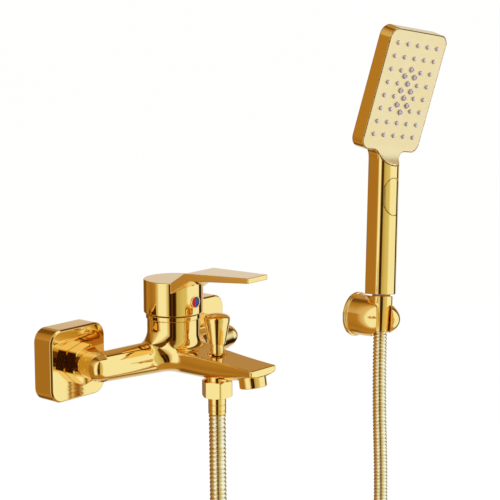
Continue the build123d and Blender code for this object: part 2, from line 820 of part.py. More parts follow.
def head_plane():
    """Plane of the spray face, with its origin at the head's middle."""
    tilt = math.radians(head_tilt)
    return Plane(origin=(0, -head_centre_reach, head_centre_height), x_dir=(1, 0, 0),
                 z_dir=(0, -math.cos(tilt), -math.sin(tilt)))


def head_outline(border=0.0):
    """Outline of the head: a rounded square with a neck that flows into the grip."""
    w = head_width - 2 * border
    h = head_height - 2 * border
    neck = neck_half_width - border
    neck_end = -head_height / 2 - neck_length
    face = make_face(Polyline(
        (-w / 2, h / 2), (w / 2, h / 2), (w / 2, -h / 2), (neck, -h / 2), (neck, neck_end),
        (-neck, neck_end), (-neck, -h / 2), (-w / 2, -h / 2), close=True))
    corners = face.vertices()
    outer = [v for v in corners if abs(v.X) > w / 2 - 0.1]
    inner = [v for v in corners if abs(v.X) < w / 2 - 0.1 and abs(v.Y + h / 2) < 0.1]
    face = fillet(outer, head_corner - border)
    inner = [v for v in face.vertices() if abs(abs(v.X) - neck) < 0.1 and abs(v.Y + h / 2) < 0.1]
    return fillet(inner, neck_blend)


def scoop():
    """Space in front of the head's plane, ending in a hollow at the top of the grip."""
    tilt = math.radians(head_tilt)
    slope = math.tan(tilt)

    def face_y(z):
        return -head_centre_reach + (head_centre_height - z) * slope

    start = handle_height + scoop_rise
    front = -handle_side_front - handle_half_width - 2
    curve = TangentArc((face_y(start), start), (front, handle_height),
                       tangent=(slope, -1))
    top = head_centre_height + head_height
    rest = Polyline((front, handle_height), (front - 3 * head_thickness, handle_height),
                    (front - 3 * head_thickness, top), (face_y(top), top), (face_y(start), start))
    return extrude(Plane.YZ * make_face([curve, *rest.edges()]), head_width, both=True)


def neck_flare():
    """The neck's outline carried forward above the grip's front, where the hollow runs out to its sides."""
    block = extrude(head_plane() * head_outline(), head_thickness)
    bottom = handle_height + flare_height
    return block & Pos(0, 0, bottom + head_height) * Box(head_width, 2 * head_height, 2 * head_height)


def handset_shell():
    """Moulded grip and head in one piece, hollow for the water."""
    grip_top = handle_height + scoop_rise + flare_height
    grip = extrude(handle_outline(), grip_top)
    head = extrude(head_plane() * head_outline(), -head_thickness)
    shell = (grip + head + neck_flare()) - scoop()
    hollow = Pos(0, 0, handle_wall) * extrude(handle_outline(handle_wall), handle_height - 2 * handle_wall)
    shell -= hollow
    inner = RectangleRounded(head_width - 2 * head_wall, head_height - 2 * head_wall,
                             head_corner - head_wall)
    shell -= extrude(head_plane() * inner, -(head_thickness - head_wall))
    shell -= extrude(head_plane() * plate_outline(), -plate_thickness)
    shell -= rod(handset_thread_radius + fit_gap, 3 * handle_wall, (0, 0, -handle_wall))
    start = Vector(0, 0, handle_height - 3 * handle_wall)
    entry = Vector(0, neck_waterway_rise - head_height / 2, -head_thickness / 2)
    run = head_plane().from_local_coords(entry) - start
    shell -= rod(waterway_radius, run.length, start, run.normalized())
    return shell - button_space()


def button_prism(gap=0.0):
    """Oval column through the front of the grip, with an optional gap all round."""
    oval = SlotOverall(button_length + 2 * gap, button_width + 2 * gap, rotation=90)
    plane = Plane(origin=(0, 0, button_height), x_dir=(1, 0, 0), z_dir=room)
    return extrude(plane * oval, handle_half_width + handle_side_front + button_thickness)


def button_space():
    """Opening in the grip that the button moves in."""
    return button_prism(button_gap)


def spray_button():
    """Oval push button whose face follows the round front of the grip."""
    outer = extrude(handle_outline(), handle_height)
    inner = extrude(handle_outline(button_thickness), handle_height)
    return button_prism() & (outer - inner)


def button_spring():
    """Spring seat and plunger behind the button."""
    front = handle_side_front + handle_half_width - button_thickness - button_travel - 2 * running_gap
    back = -handle_back + handle_wall
    length = front - back - button_spring_clearance
    return rod(button_spring_radius, length, (0, -front, button_height), (0, 1, 0))


def waterway_tube():
    """Plastic tube inside the grip, from the inlet to the head."""
    start = inlet_tail_depth
    length = handle_height - 3 * handle_wall - start
    tube = rod(waterway_tube_radius, length, (0, waterway_tube_offset, start))
    return tube - rod(waterway_tube_radius - waterway_tube_wall, length, (0, waterway_tube_offset, start))


def handset_inlet():
    """Threaded tail of the hand shower, held in the grip's end."""
    length = inlet_tail_depth + handle_wall + 2 * fit_gap
    tail = rod(handset_thread_radius, length, (0, 0, -inlet_tail_depth))
    flange = extrude(handle_outline(handle_wall + running_gap), handle_wall)
    tail += Pos(0, 0, handle_wall + fit_gap) * flange
    return tail - rod(waterway_radius, 3 * inlet_tail_depth, (0, 0, -inlet_tail_depth))


def nozzle_places():
    """Places of the small nozzles, in a grid, and of the large ones, staggered in its middle."""
    small, large = [], []
    middle = nozzle_columns // 2
    first = (nozzle_rows - large_nozzle_rows) // 2
    for row in range(nozzle_rows):
        for column in range(nozzle_columns):
            if column == middle and first <= row < first + large_nozzle_rows:
                continue
            y = nozzle_centre + ((nozzle_rows - 1) / 2 - row) * nozzle_pitch_z
            small.append(((column - middle) * nozzle_pitch_x, y))
    for row in range(large_nozzle_rows):
        y = nozzle_centre + ((large_nozzle_rows - 1) / 2 - row) * large_nozzle_pitch
        large.append((0, y))
        if row < large_nozzle_rows - 1:
            for side in (-1, 1):
                large.append((side * nozzle_pitch_x / 2, y - large_nozzle_pitch / 2))
    return small, large


def nozzle_pins(gap, height):
    """All nozzles as short cylinders that stand on the head's plane."""
    small, large = nozzle_places()
    pins = Part()
    for places, radius in ((small, nozzle_radius), (large, large_nozzle_radius)):
        pin = Solid.make_cylinder(radius + gap, height)
        pins += [Pos(x, y, -plate_thickness) * pin for x, y in places]
    return pins


def plate_outline(gap=0.0):
    """Outline of the spray face, with a narrow border of the head round it."""
    border = plate_border + gap
    return RectangleRounded(head_width - 2 * border, head_height - 2 * border, head_corner - border)


def spray_plate():
    """Thin metal face of the head with a hole for each nozzle."""
    plate = extrude(plate_outline(fit_gap), -plate_thickness)
    return head_plane() * (plate - nozzle_pins(fit_gap, plate_thickness))


def chamber_outline(inset=0.0):
    """Rounded rectangle that the mat and the tray behind it share."""
    width = head_width - 4 * head_wall - 2 * inset
    height = head_height - 4 * head_wall - 2 * inset
    return RectangleRounded(width, height, head_corner - head_wall - inset)


def nozzle_mat():
    """Soft sheet behind the face with all its nozzles."""
    sheet = Pos(0, 0, -plate_thickness - mat_thickness) * extrude(chamber_outline(), mat_thickness)
    return head_plane() * (sheet + nozzle_pins(0, plate_thickness + nozzle_height))


def water_chamber():
    """Moulded tray that spreads the water behind the nozzle mat."""
    back = head_thickness - head_wall - fit_gap
    front = plate_thickness + mat_thickness
    tray = Pos(0, 0, -back) * extrude(chamber_outline(), back - front)
    tray -= Pos(0, 0, tray_wall - back) * extrude(chamber_outline(tray_wall), back - front)
    return head_plane() * tray


def cone_nut():
    """Conical nut at the hand shower's end of the hose; it rests in the bracket's socket."""
    top = -cone_washer_thickness
    nut = turned([
        (0, -cone_length), (cone_bottom_radius, -cone_length), (cone_top_radius, top - cone_top_length),
        (cone_top_radius, top), (0, top)])
    nut -= rod(handset_thread_radius + fit_gap, cone_seat_depth, (0, 0, -cone_seat_depth))
    return nut - rod(cone_bore_radius, cone_length, (0, 0, -cone_length))


def hose_swivel():
    """Tail of the hose that turns in the conical nut, held by its flange."""
    tail_length = cone_length - cone_seat_depth + 2 * fit_gap
    tail = rod(cone_bore_radius - swivel_gap, tail_length, (0, 0, -cone_length))
    flange_bottom = fit_gap - cone_seat_depth
    tail += rod(swivel_flange_radius, swivel_flange_thickness, (0, 0, flange_bottom))
    return tail - rod(swivel_bore_radius, cone_length, (0, 0, -cone_length))


def swivel_washer():
    """Rubber washer between the hose's tail and the hand shower's inlet."""
    bottom = 2 * fit_gap + swivel_flange_thickness - cone_seat_depth
    thickness = -inlet_tail_depth - fit_gap - bottom
    washer = rod(swivel_flange_radius, thickness, (0, 0, bottom))
    return washer - rod(swivel_bore_radius, thickness, (0, 0, bottom))


def cone_washer():
    """Grey plastic ring between the conical nut and the grip."""
    thickness = cone_washer_thickness - fit_gap
    washer = rod(cone_washer_radius, thickness, (0, 0, -thickness))
    return washer - rod(handset_thread_radius + fit_gap / 2, thickness, (0, 0, -thickness))


# ---------------------------------------------------------------- wall bracket

def bracket_section():
    """Half section of the bracket: a flange, a full barrel and a domed end."""
    r, f = bracket_barrel_radius, bracket_flange_radius
    t, s, reach = bracket_flange_thickness, bracket_shoulder_reach, bracket_reach
    e = bracket_edge
    rest = Polyline((0, reach), (0, 0), (f - e, 0), (f, e), (f, t - e), (f - e, t), (r, t), (r, s))
    return make_face([*dome_arcs(r, s, reach - s), *rest.edges()])


def bracket_body():
    """Barrel on a round flange, with a conical socket and a slanting slot for the hose."""
    place = Plane(origin=(bracket_x, 0, bracket_z), x_dir=(1, 0, 0), z_dir=room)
    body = place * revolve(Plane.XZ * bracket_section(), axis=Axis.Z)
    body -= place * rod(bracket_back_radius, bracket_back_depth, (0, 0, 0))
    for tool in (socket_cone(), socket_mouth_cone(), socket_slot()):
        body -= handset_place() * tool
    return body - grub_screw_rod(bracket_grub_radius + fit_gap)


def socket_cone():
    """Conical seat for the nut, open above and below."""
    top = -cone_washer_thickness - cone_top_length
    reach = 3 * bracket_barrel_radius
    wide = cone_top_radius + running_gap
    narrow = cone_bottom_radius + running_gap
    return turned([(0, -reach), (narrow, -reach), (narrow, -cone_length), (wide, top),
                   (wide, reach), (0, reach)])


def socket_mouth_cone():
    """Flared mouth at the top of the seat."""
    wide = cone_top_radius + running_gap
    flare = 4 * socket_mouth
    top = bracket_barrel_radius - handle_end_height + socket_mouth_rise
    return cone(wide, wide + flare, flare, (0, 0, top + socket_mouth - flare))


def socket_slot():
    """Slot from the seat to the front, for the hose to pass through."""
    reach = 3 * bracket_barrel_radius
    slot = Pos(0, -reach / 2, 0) * Box(bracket_slot_width, reach, 4 * reach)
    return Rot(0, 0, -bracket_slot_azimuth) * slot


def bracket_base_plate():
    """Fixing disc inside the flange, with two screw holes and a boss for the grub screw."""
    place = Plane(origin=(bracket_x, 0, bracket_z), x_dir=(1, 0, 0), z_dir=room)
    disc = rod(base_plate_radius, base_plate_thickness, (0, 0, 0))
    disc += rod(base_boss_radius, bracket_back_depth - running_gap, (0, 0, 0))
    for side in (-1, 1):
        disc -= rod(base_screw_radius, base_plate_thickness, (side * base_screw_spacing / 2, 0, 0))
    return place * disc


def grub_screw_rod(radius):
    """Upright rod from just inside the barrel's underside up to the boss."""
    y = -(bracket_flange_thickness + bracket_back_depth) / 2
    bottom = bracket_z - bracket_barrel_radius
    return rod(radius, bracket_barrel_radius - base_boss_radius - fit_gap, (bracket_x, y, bottom))


def bracket_grub_screw():
    """Small screw under the barrel that locks it on the fixing disc."""
    screw = grub_screw_rod(bracket_grub_radius)
    foot = Pos(bracket_x, 0, bracket_z - bracket_barrel_radius)
    foot *= Box(bracket_reach, bracket_reach, 2 * bracket_grub_recess)
    return screw - foot


def build_nodes():
    """Every node's shape by name."""
    nodes = {}
    for side, name in ((-1, "left"), (1, "right")):
        nodes[f"wall_union_{name}"] = wall_union(side)
        nodes[f"escutcheon_{name}"] = escutcheon(side)
        nodes[f"union_nut_{name}"] = union_nut(side)
        nodes[f"inlet_washer_{name}"] = inlet_washer(side)
        nodes[f"inlet_strainer_{name}"] = inlet_strainer(side)
    for make in (mixer_body, cartridge_seal, cartridge_housing, fixed_disc, moving_disc,
                 cartridge_carrier, stem_pin, lever_stem, retaining_nut, trim_ring,
                 handle, handle_grub_screw, diverter_bonnet, diverter_knob, diverter_rod,
                 diverter_plunger, aerator_housing, aerator_insert, aerator_washer,
                 outlet_nipple, hose_nut, hose_washer, hose_ferrule, shower_hose,
                 bracket_body, bracket_base_plate, bracket_grub_screw):
        nodes[make.__name__] = make()
    nodes["indicator_hot"] = indicator_half(-1)
    nodes["indicator_cold"] = indicator_half(1)
    for make in (cone_nut, cone_washer, hose_swivel, swivel_washer):
        nodes[make.__name__] = handset_place() * make()
    for make in (handset_shell, spray_button, button_spring, waterway_tube, handset_inlet,
                 spray_plate, nozzle_mat, water_chamber):
        nodes[make.__name__] = turned_handset_place() * make()
    return nodes


os.makedirs("parts", exist_ok=True)
for node_name, shape in build_nodes().items():
    export_step(shape, f"parts/{node_name}.step")
    print(f"{node_name:24s} solids {len(shape.solids())} volume {shape.volume:10.1f}")
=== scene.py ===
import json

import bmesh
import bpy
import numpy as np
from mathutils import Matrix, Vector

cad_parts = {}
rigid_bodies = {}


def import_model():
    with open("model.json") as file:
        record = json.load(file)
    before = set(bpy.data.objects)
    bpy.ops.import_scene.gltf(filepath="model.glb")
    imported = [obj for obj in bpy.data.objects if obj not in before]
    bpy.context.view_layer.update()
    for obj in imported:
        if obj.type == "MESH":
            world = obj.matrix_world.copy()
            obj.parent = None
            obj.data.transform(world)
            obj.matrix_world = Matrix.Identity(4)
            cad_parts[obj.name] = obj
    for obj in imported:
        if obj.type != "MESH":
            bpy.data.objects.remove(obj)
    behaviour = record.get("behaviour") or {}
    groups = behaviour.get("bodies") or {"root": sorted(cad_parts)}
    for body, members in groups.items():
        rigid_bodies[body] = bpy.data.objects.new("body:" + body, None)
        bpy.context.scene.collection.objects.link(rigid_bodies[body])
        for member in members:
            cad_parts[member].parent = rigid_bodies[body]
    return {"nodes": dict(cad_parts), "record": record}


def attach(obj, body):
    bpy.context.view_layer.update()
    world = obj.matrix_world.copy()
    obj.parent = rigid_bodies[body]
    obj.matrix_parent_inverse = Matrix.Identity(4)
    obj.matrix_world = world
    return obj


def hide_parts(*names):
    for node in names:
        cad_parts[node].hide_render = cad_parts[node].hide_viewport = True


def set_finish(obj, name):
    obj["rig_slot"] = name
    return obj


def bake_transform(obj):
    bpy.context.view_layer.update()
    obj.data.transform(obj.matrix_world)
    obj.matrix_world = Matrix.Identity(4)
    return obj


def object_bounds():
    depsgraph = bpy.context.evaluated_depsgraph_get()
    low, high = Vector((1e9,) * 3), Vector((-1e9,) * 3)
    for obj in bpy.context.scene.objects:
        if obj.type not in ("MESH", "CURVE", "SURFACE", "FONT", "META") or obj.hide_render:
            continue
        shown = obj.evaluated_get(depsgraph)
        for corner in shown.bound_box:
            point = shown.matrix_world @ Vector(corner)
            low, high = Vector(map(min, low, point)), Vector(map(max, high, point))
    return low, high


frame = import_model()

# %% [markdown]
# A wall mounted bath mixer hangs on two water inlets. A hose hangs from it in a loop and
# comes back up to a hand shower, which stands in a bracket on the wall. The solids come
# from the CAD model; this file dresses them. Points are in millimetres in the helpers
# below and become metres when a mesh is made.

MM = 0.001
solid_low, solid_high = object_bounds()
print("solids reach from", [round(v, 4) for v in solid_low], "to", [round(v, 4) for v in solid_high])

# %% [markdown]
# The camera stands to the left of the mixer, a little above it, with a long lens, so the
# lever and spout point to the lower right. A long lens keeps the hand shower's sides
# almost parallel.

# %% Camera
camera_place = Vector((-0.9204, -0.9248, 0.3059))
camera_target = Vector((0.1664, 0.0, 0.0599))
camera_data = bpy.data.cameras.new("studio_camera")
camera_data.lens = 110.6
camera_data.sensor_width = 36.0
camera = bpy.data.objects.new("studio_camera", camera_data)
camera.location = camera_place
camera.rotation_mode = "QUATERNION"
camera.rotation_quaternion = (camera_target - camera_place).to_track_quat("-Z", "Y")
bpy.context.scene.collection.objects.link(camera)
bpy.context.scene.camera = camera
print("camera stands", round((camera_target - camera_place).length, 3), "m from its target")

# %% [markdown]
# The hose is wound from steel band. It leaves the ferrule straight down, hangs in a wide
# loop and comes up into the conical nut. Its line is one smooth spline through a few
# control points; the spline is turned into points, and those are spaced evenly along it.

# %% The hose's line
hose_diameter = 0.0142
hose_points = [
    (0.0, -0.106, -0.044), (0.002, -0.1056, -0.19), (0.010, -0.104, -0.35), (0.054, -0.0955, -0.49),
    (0.124, -0.082, -0.556), (0.211, -0.065, -0.556), (0.281, -0.0515, -0.49), (0.3236, -0.0415, -0.355),
    (0.3296, -0.0398, -0.21), (0.325465, -0.037383, -0.099879), (0.333369, -0.032655, -0.042919)]


def spline_points(points):
    """Points of a smooth spline of order 3 that has the given points as its control points."""
    curve = bpy.data.curves.new("hose_line", "CURVE")
    curve.dimensions = "3D"
    spline = curve.splines.new("NURBS")
    spline.points.add(len(points) - 1)
    for point, place in zip(spline.points, points):
        point.co = (*place, 1.0)
    spline.order_u = 3
    spline.use_endpoint_u = True
    spline.resolution_u = 64
    holder = bpy.data.objects.new("hose_line", curve)
    mesh = bpy.data.meshes.new_from_object(holder)
    line = np.empty(len(mesh.vertices) * 3)
    mesh.vertices.foreach_get("co", line)
    bpy.data.meshes.remove(mesh)
    bpy.data.objects.remove(holder)
    bpy.data.curves.remove(curve)
    return line.reshape(-1, 3)


def evenly_spaced(line, spacing):
    """The same line with points at equal steps of arc length, found by interpolating each coordinate."""
    steps = np.linalg.norm(np.diff(line, axis=0), axis=1)
    reach = np.concatenate([[0.0], np.cumsum(steps)])
    wanted = np.linspace(0.0, reach[-1], int(round(reach[-1] / spacing)) + 1)
    return np.stack([np.interp(wanted, reach, line[:, k]) for k in range(3)], axis=1), wanted


ring_spacing = 0.0005
hose_centres, hose_reach = evenly_spaced(spline_points(hose_points), ring_spacing)
print("hose line", round(hose_reach[-1], 4), "m")

# %% [markdown]
# Most pieces of a mixer are turned or milled, so their surfaces have a short formula. They
# could be built from edited cylinders, but a grid of points from the formula keeps every
# size in view: rows along one parameter, columns round the other. One helper turns a
# grid into faces, and one puts points and faces into a mesh, merges the points that meet
# at a pole and turns the faces outwards.

# %% From grids to meshes


def grid_faces(rows, columns, wrap_rows=False, wrap_columns=True):
    """Four-sided faces between neighbouring points of a grid, closed round on itself where it wraps."""
    r = np.arange(rows if wrap_rows else rows - 1)
    c = np.arange(columns if wrap_columns else columns - 1)
    r, c = np.meshgrid(r, c, indexing="ij")
    r2, c2 = (r + 1) % rows, (c + 1) % columns
    corners = [r * columns + c, r * columns + c2, r2 * columns + c2, r2 * columns + c]
    return np.stack(corners, axis=-1).reshape(-1, 4)

# %% [markdown]
# A piece needs more than points: it rides on a body, takes its finish from a slot and
# shades smoothly except at its sharp edges. Each could be set by hand, but one function
# makes all pieces alike, so the later cells hold shapes only. It prints each mesh's size.

# %% From a grid to a piece


def new_piece(name, points, faces, body, slot, caps=(), merge=True, sharp=32.0, normals=None):
    """A mesh object from points in millimetres, riding on a body and taking its finish from a slot."""
    mesh = bpy.data.meshes.new(name)
    mesh.from_pydata((np.asarray(points) * MM).tolist(), [], [*np.asarray(faces).tolist(), *caps])
    mesh.update()
    if merge:
        work = bmesh.new()
        work.from_mesh(mesh)
        bmesh.ops.remove_doubles(work, verts=work.verts, dist=2e-6)
        bmesh.ops.recalc_face_normals(work, faces=work.faces)
        work.to_mesh(mesh)
        work.free()
    mesh.polygons.foreach_set("use_smooth", np.ones(len(mesh.polygons), bool))
    if normals is None:
        mesh.set_sharp_from_angle(angle=np.radians(sharp))
    else:
        mesh.normals_split_custom_set_from_vertices(normals.tolist())
    piece = bpy.data.objects.new(name, mesh)
    bpy.context.scene.collection.objects.link(piece)
    if normals is None:
        weighted = piece.modifiers.new("even_normals", "WEIGHTED_NORMAL")
        weighted.keep_sharp = True
    if body is not None:
        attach(piece, body)
    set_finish(piece, slot)
    print(f"{name}: {len(mesh.vertices)} points, {len(mesh.polygons)} faces")
    return piece

# %% [markdown]
# A workshop drawing gives a turned part as corners, each with a radius. These helpers do
# the same: round the corners, carry the profile round an axis, put the result in place.
# Spin and Bevel could do it too, but then the sizes would sit in modifiers.

# %% Places and turned profiles


def placed(points, origin, x_axis, y_axis, z_axis):
    """Points given in a piece's own axes, moved to their place: origin plus each coordinate times its axis."""
    return np.asarray(origin) + np.asarray(points) @ np.array([x_axis, y_axis, z_axis], float)


def rounded_line(corners, radii, steps=6):
    """A line through the corners with an arc of the given radius at each, tangent to both its sides."""
    corners = [np.array(c, float) for c in corners]
    line = [corners[0]]
    for before, corner, after, radius in zip(corners, corners[1:], corners[2:], radii):
        back, on = before - corner, after - corner
        back, on = back / np.linalg.norm(back), on / np.linalg.norm(on)
        half = np.arccos(np.clip(back @ on, -1, 1)) / 2
        if radius <= 0 or half > 1.56:
            line.append(corner)
            continue
        middle = corner + (back + on) / np.linalg.norm(back + on) * radius / np.sin(half)
        start, end = corner + back * radius / np.tan(half), corner + on * radius / np.tan(half)
        share = np.linspace(0, 1, steps + 1)[:, None]
        chord = start + (end - start) * share - middle
        line.extend(middle + chord / np.linalg.norm(chord, axis=1, keepdims=True) * radius)
    line.append(corners[-1])
    return np.array(line)


def turned_grid(profile, segments=96):
    """A profile of (radius, height) carried round Z: x = r cos t, y = r sin t, z = height."""
    t = np.linspace(0, 2 * np.pi, segments, endpoint=False)
    radius, height = profile[:, :1], profile[:, 1:]
    points = np.stack([radius * np.cos(t), radius * np.sin(t), height + 0 * t], axis=-1)
    return points.reshape(-1, 3), grid_faces(len(profile), segments)


def turned_piece(name, profile, origin, body, slot, z_axis=(0, 0, 1), segments=96, sharp=32.0):
    """A turned piece whose own Z runs along z_axis from origin. The profile starts and ends on the axis."""
    z_axis = np.array(z_axis, float) / np.linalg.norm(z_axis)
    guide = np.array((0, 0, 1.0)) if abs(z_axis[2]) < 0.9 else np.array((1.0, 0, 0))
    x_axis = np.cross(guide, z_axis)
    x_axis /= np.linalg.norm(x_axis)
    points, faces = turned_grid(np.asarray(profile, float), segments)
    points = placed(points, origin, x_axis, np.cross(z_axis, x_axis), z_axis)
    return new_piece(name, points, faces, body, slot, sharp=sharp)


# %% [markdown]
# The hose is a rubber tube in a spiral of steel band, rolled into round ribs with a narrow
# groove between them. A bump texture could draw the ribs, but they show in the outline, so
# they are real: the tube's radius is a function of the distance along the line, a
# rounded wave. Each ring of points stands square to the line.

# %% The hose
rib_pitch = 0.0036
rib_depth = 0.0011


def hose_grid(centres, reach, around=28):
    """Ring at each centre: radius = half the diameter less a groove that falls off as the cosine's sixth power."""
    tangent = np.gradient(centres, axis=0)
    tangent /= np.linalg.norm(tangent, axis=1, keepdims=True)
    side = np.cross(tangent, (0.17, 0.98, 0.0))
    side /= np.linalg.norm(side, axis=1, keepdims=True)
    other = np.cross(tangent, side)
    wave = np.abs(np.cos(np.pi * reach / rib_pitch)) ** 6
    radius = (hose_diameter / 2 - rib_depth * wave)[:, None, None]
    t = np.linspace(0, 2 * np.pi, around, endpoint=False)[None, :, None]
    points = centres[:, None] + radius * (np.cos(t) * side[:, None] + np.sin(t) * other[:, None])
    return points.reshape(-1, 3) / MM, grid_faces(len(centres), around)


ring_points, ring_faces = hose_grid(hose_centres, hose_reach)
hose = new_piece("wound_hose", ring_points, ring_faces, None, "gold_steel_hose", merge=False, sharp=60.0)
hose.modifiers.clear()
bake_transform(hose)
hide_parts("shower_hose")

# %% [markdown]
# A turned sleeve with two fine grooves, the ferrule, grips the hose's end below the nut. It
# could be part of the hose's mesh, but it is a piece of its own with its own finish, so
# its profile is turned.

# %% The hose's ferrule
diverter_reach = 106.0
ferrule = turned_piece(
    "hose_ferrule_cover",
    rounded_line([(0, -27), (7.5, -27), (7.5, -35), (7.0, -35.4), (7.5, -35.8), (7.5, -40), (7.0, -40.4),
                  (7.5, -40.8), (7.5, -43.7), (5.9, -43.7), (0, -43.7)],
                 [0.2, 0.2, 0.2, 0.2, 0.2, 0.2, 0.2, 0.7, 0.3]),
    (0, -diverter_reach, 0), "mixer", "gold_brass")
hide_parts("hose_ferrule")

# %% [markdown]
# The mixer's body, the bracket, the lever's cap and the hand shower are castings and
# mouldings: solid forms that flow into each other with fillets. A grid of two parameters
# can't follow such a junction, so these pieces are described as distance fields. A
# distance field gives, for any point in space, how far it lies outside (above zero) or
# inside (below zero) the form. Two fields join with the smaller value, and a circle of the
# fillet's radius rounds the corner between them. The surface is then found where the
# field is zero.

# %% Distance fields and how they join


def round_join(a, b, radius):
    """Both forms together, with a fillet: radius minus the distance to the corner where both are near."""
    inner = np.hypot(np.maximum(radius - a, 0), np.maximum(radius - b, 0))
    return np.maximum(radius, np.minimum(a, b)) - inner


def round_cut(a, b, radius):
    """What lies in both forms, with its edge rounded to the radius."""
    outer = np.hypot(np.maximum(radius + a, 0), np.maximum(radius + b, 0))
    return np.minimum(-radius, np.maximum(a, b)) + outer


def oval_field(x, y, half_x, half_y):
    """Distance to an ellipse, from the length of the scaled point and the length of its gradient."""
    scaled = np.hypot(x / half_x, y / half_y) + 1e-9
    slope = np.hypot(x / half_x ** 2, y / half_y ** 2) + 1e-9
    return scaled * (scaled - 1) / slope


def rounded_box_field(x, y, half_x, half_y, radius):
    """Distance to a rectangle with round corners, in a plane."""
    dx, dy = np.abs(x) - half_x + radius, np.abs(y) - half_y + radius
    return np.minimum(np.maximum(dx, dy), 0) + np.hypot(np.maximum(dx, 0), np.maximum(dy, 0)) - radius


def ease(x, start, end):
    """Zero before start, one after end, and a smooth S between them: 3 t t - 2 t t t."""
    t = np.clip((x - start) / (end - start), 0, 1)
    return t * t * (3 - 2 * t)

# %% [markdown]
# A field only says how far a point is from a surface. It is sampled on a fine grid, each
# small cube that the surface passes gets one point, and the points are pulled onto
# the surface along the field's slope. The Remesh modifier could do it as well, but the
# exact slope also gives the normals that a mirror finish needs.

# %% From a field to a mesh


def field_slope(field, points, step=0.05):
    """Gradient of a field at points, by central differences along each axis."""
    parts = []
    for axis in range(3):
        move = np.zeros(3)
        move[axis] = step
        parts.append((field(*(points + move).T) - field(*(points - move).T)) / (2 * step))
    return np.stack(parts, axis=1)


def field_surface(field, low, high, pitch):
    """Surface of a field: one point in each grid cell that it crosses, the mean of its crossings on the
    cell's edges, then moved along the gradient onto zero. Faces join the four cells round each crossed edge."""
    lines = [np.arange(a, b + pitch, pitch) for a, b in zip(low, high)]
    value = field(*np.meshgrid(*lines, indexing="ij")).astype(np.float32)
    cells = tuple(n - 1 for n in value.shape)
    total, count = np.zeros((*cells, 3), np.float32), np.zeros(cells, np.float32)
    crossed = []
    for axis in range(3):
        lower = np.take(value, np.arange(value.shape[axis] - 1), axis)
        upper = np.take(value, np.arange(1, value.shape[axis]), axis)
        cross = (lower < 0) != (upper < 0)
        share = np.where(cross, lower / np.where(cross, lower - upper, 1), 0)
        crossed.append((cross, lower < 0))
        b, c = (axis + 1) % 3, (axis + 2) % 3
        for db in (0, 1):
            for dc in (0, 1):
                pick = [slice(None)] * 3
                pick[b] = slice(db, db + cells[b])
                pick[c] = slice(dc, dc + cells[c])
                here = cross[tuple(pick)]
                total[..., axis] += share[tuple(pick)]
                total[..., b] += db * here
                total[..., c] += dc * here
                count += here
    mixed = count > 0
    index = np.full(cells, -1)
    index[mixed] = np.arange(mixed.sum())
    corner = np.stack(np.nonzero(mixed), axis=1)
    points = np.array(low) + pitch * (corner + total[mixed] / count[mixed][:, None])
    faces = []
    for axis in range(3):
        cross, inside = crossed[axis]
        b, c = (axis + 1) % 3, (axis + 2) % 3
        place = np.stack(np.nonzero(cross), axis=1)
        place = place[(place[:, b] > 0) & (place[:, c] > 0) & (place[:, b] < cells[b]) & (place[:, c] < cells[c])]
        quad = []
        for db, dc in ((-1, -1), (0, -1), (0, 0), (-1, 0)):
            cell = place.copy()
            cell[:, b] += db
            cell[:, c] += dc
            quad.append(index[tuple(cell.T)])
        quad = np.stack(quad, axis=1)
        turn = ~inside[tuple(place.T)]
        quad[turn] = quad[turn, ::-1]
        faces.append(quad)
    for _ in range(3):
        slope = field_slope(field, points)
        size = np.maximum((slope ** 2).sum(1, keepdims=True), 0.05)
        move = field(*points.T)[:, None] * slope / size
        points = points - np.clip(move, -pitch / 2, pitch / 2)
    slope = field_slope(field, points, 0.02)
    normals = slope / (np.linalg.norm(slope, axis=1, keepdims=True) + 1e-12)
    return points, np.concatenate(faces), normals


# %% [markdown]
# The body is one brass casting: two arms reach from the inlets to an upright housing for
# the cartridge, and a blade spout runs out in front. The fillets are wide where the metal
# filled the mould and small where a cutter made the edge, such as the recess round the
# diverter and the top of the housing. Separate cylinders that run into each other
# would show hard seams in polished gold, so the whole casting is one field.

# %% The mixer's body
elbow_x, elbow_reach = 75.0, 45.3
housing_reach, housing_radius, housing_top = 57.2, 22.3, 31.0
spout_stations = np.array([57.2, 101.0, 131.0, 156.4])
spout_width = np.polyfit(spout_stations, [20.5, 17.8, 15.6, 16.0], 3)
spout_top = np.polyfit(spout_stations, [10.0, 6.6, 4.5, 2.7], 3)
spout_side = np.polyfit(spout_stations, [1.0, 1.6, 2.6, 4.2], 3)
spout_bottom = np.polyfit(spout_stations, [-15.2, -14.4, -11.2, -4.4], 3)
aerator_tilt, aerator_reach, aerator_top, aerator_radius = np.radians(10.0), 143.0, -1.6, 11.4


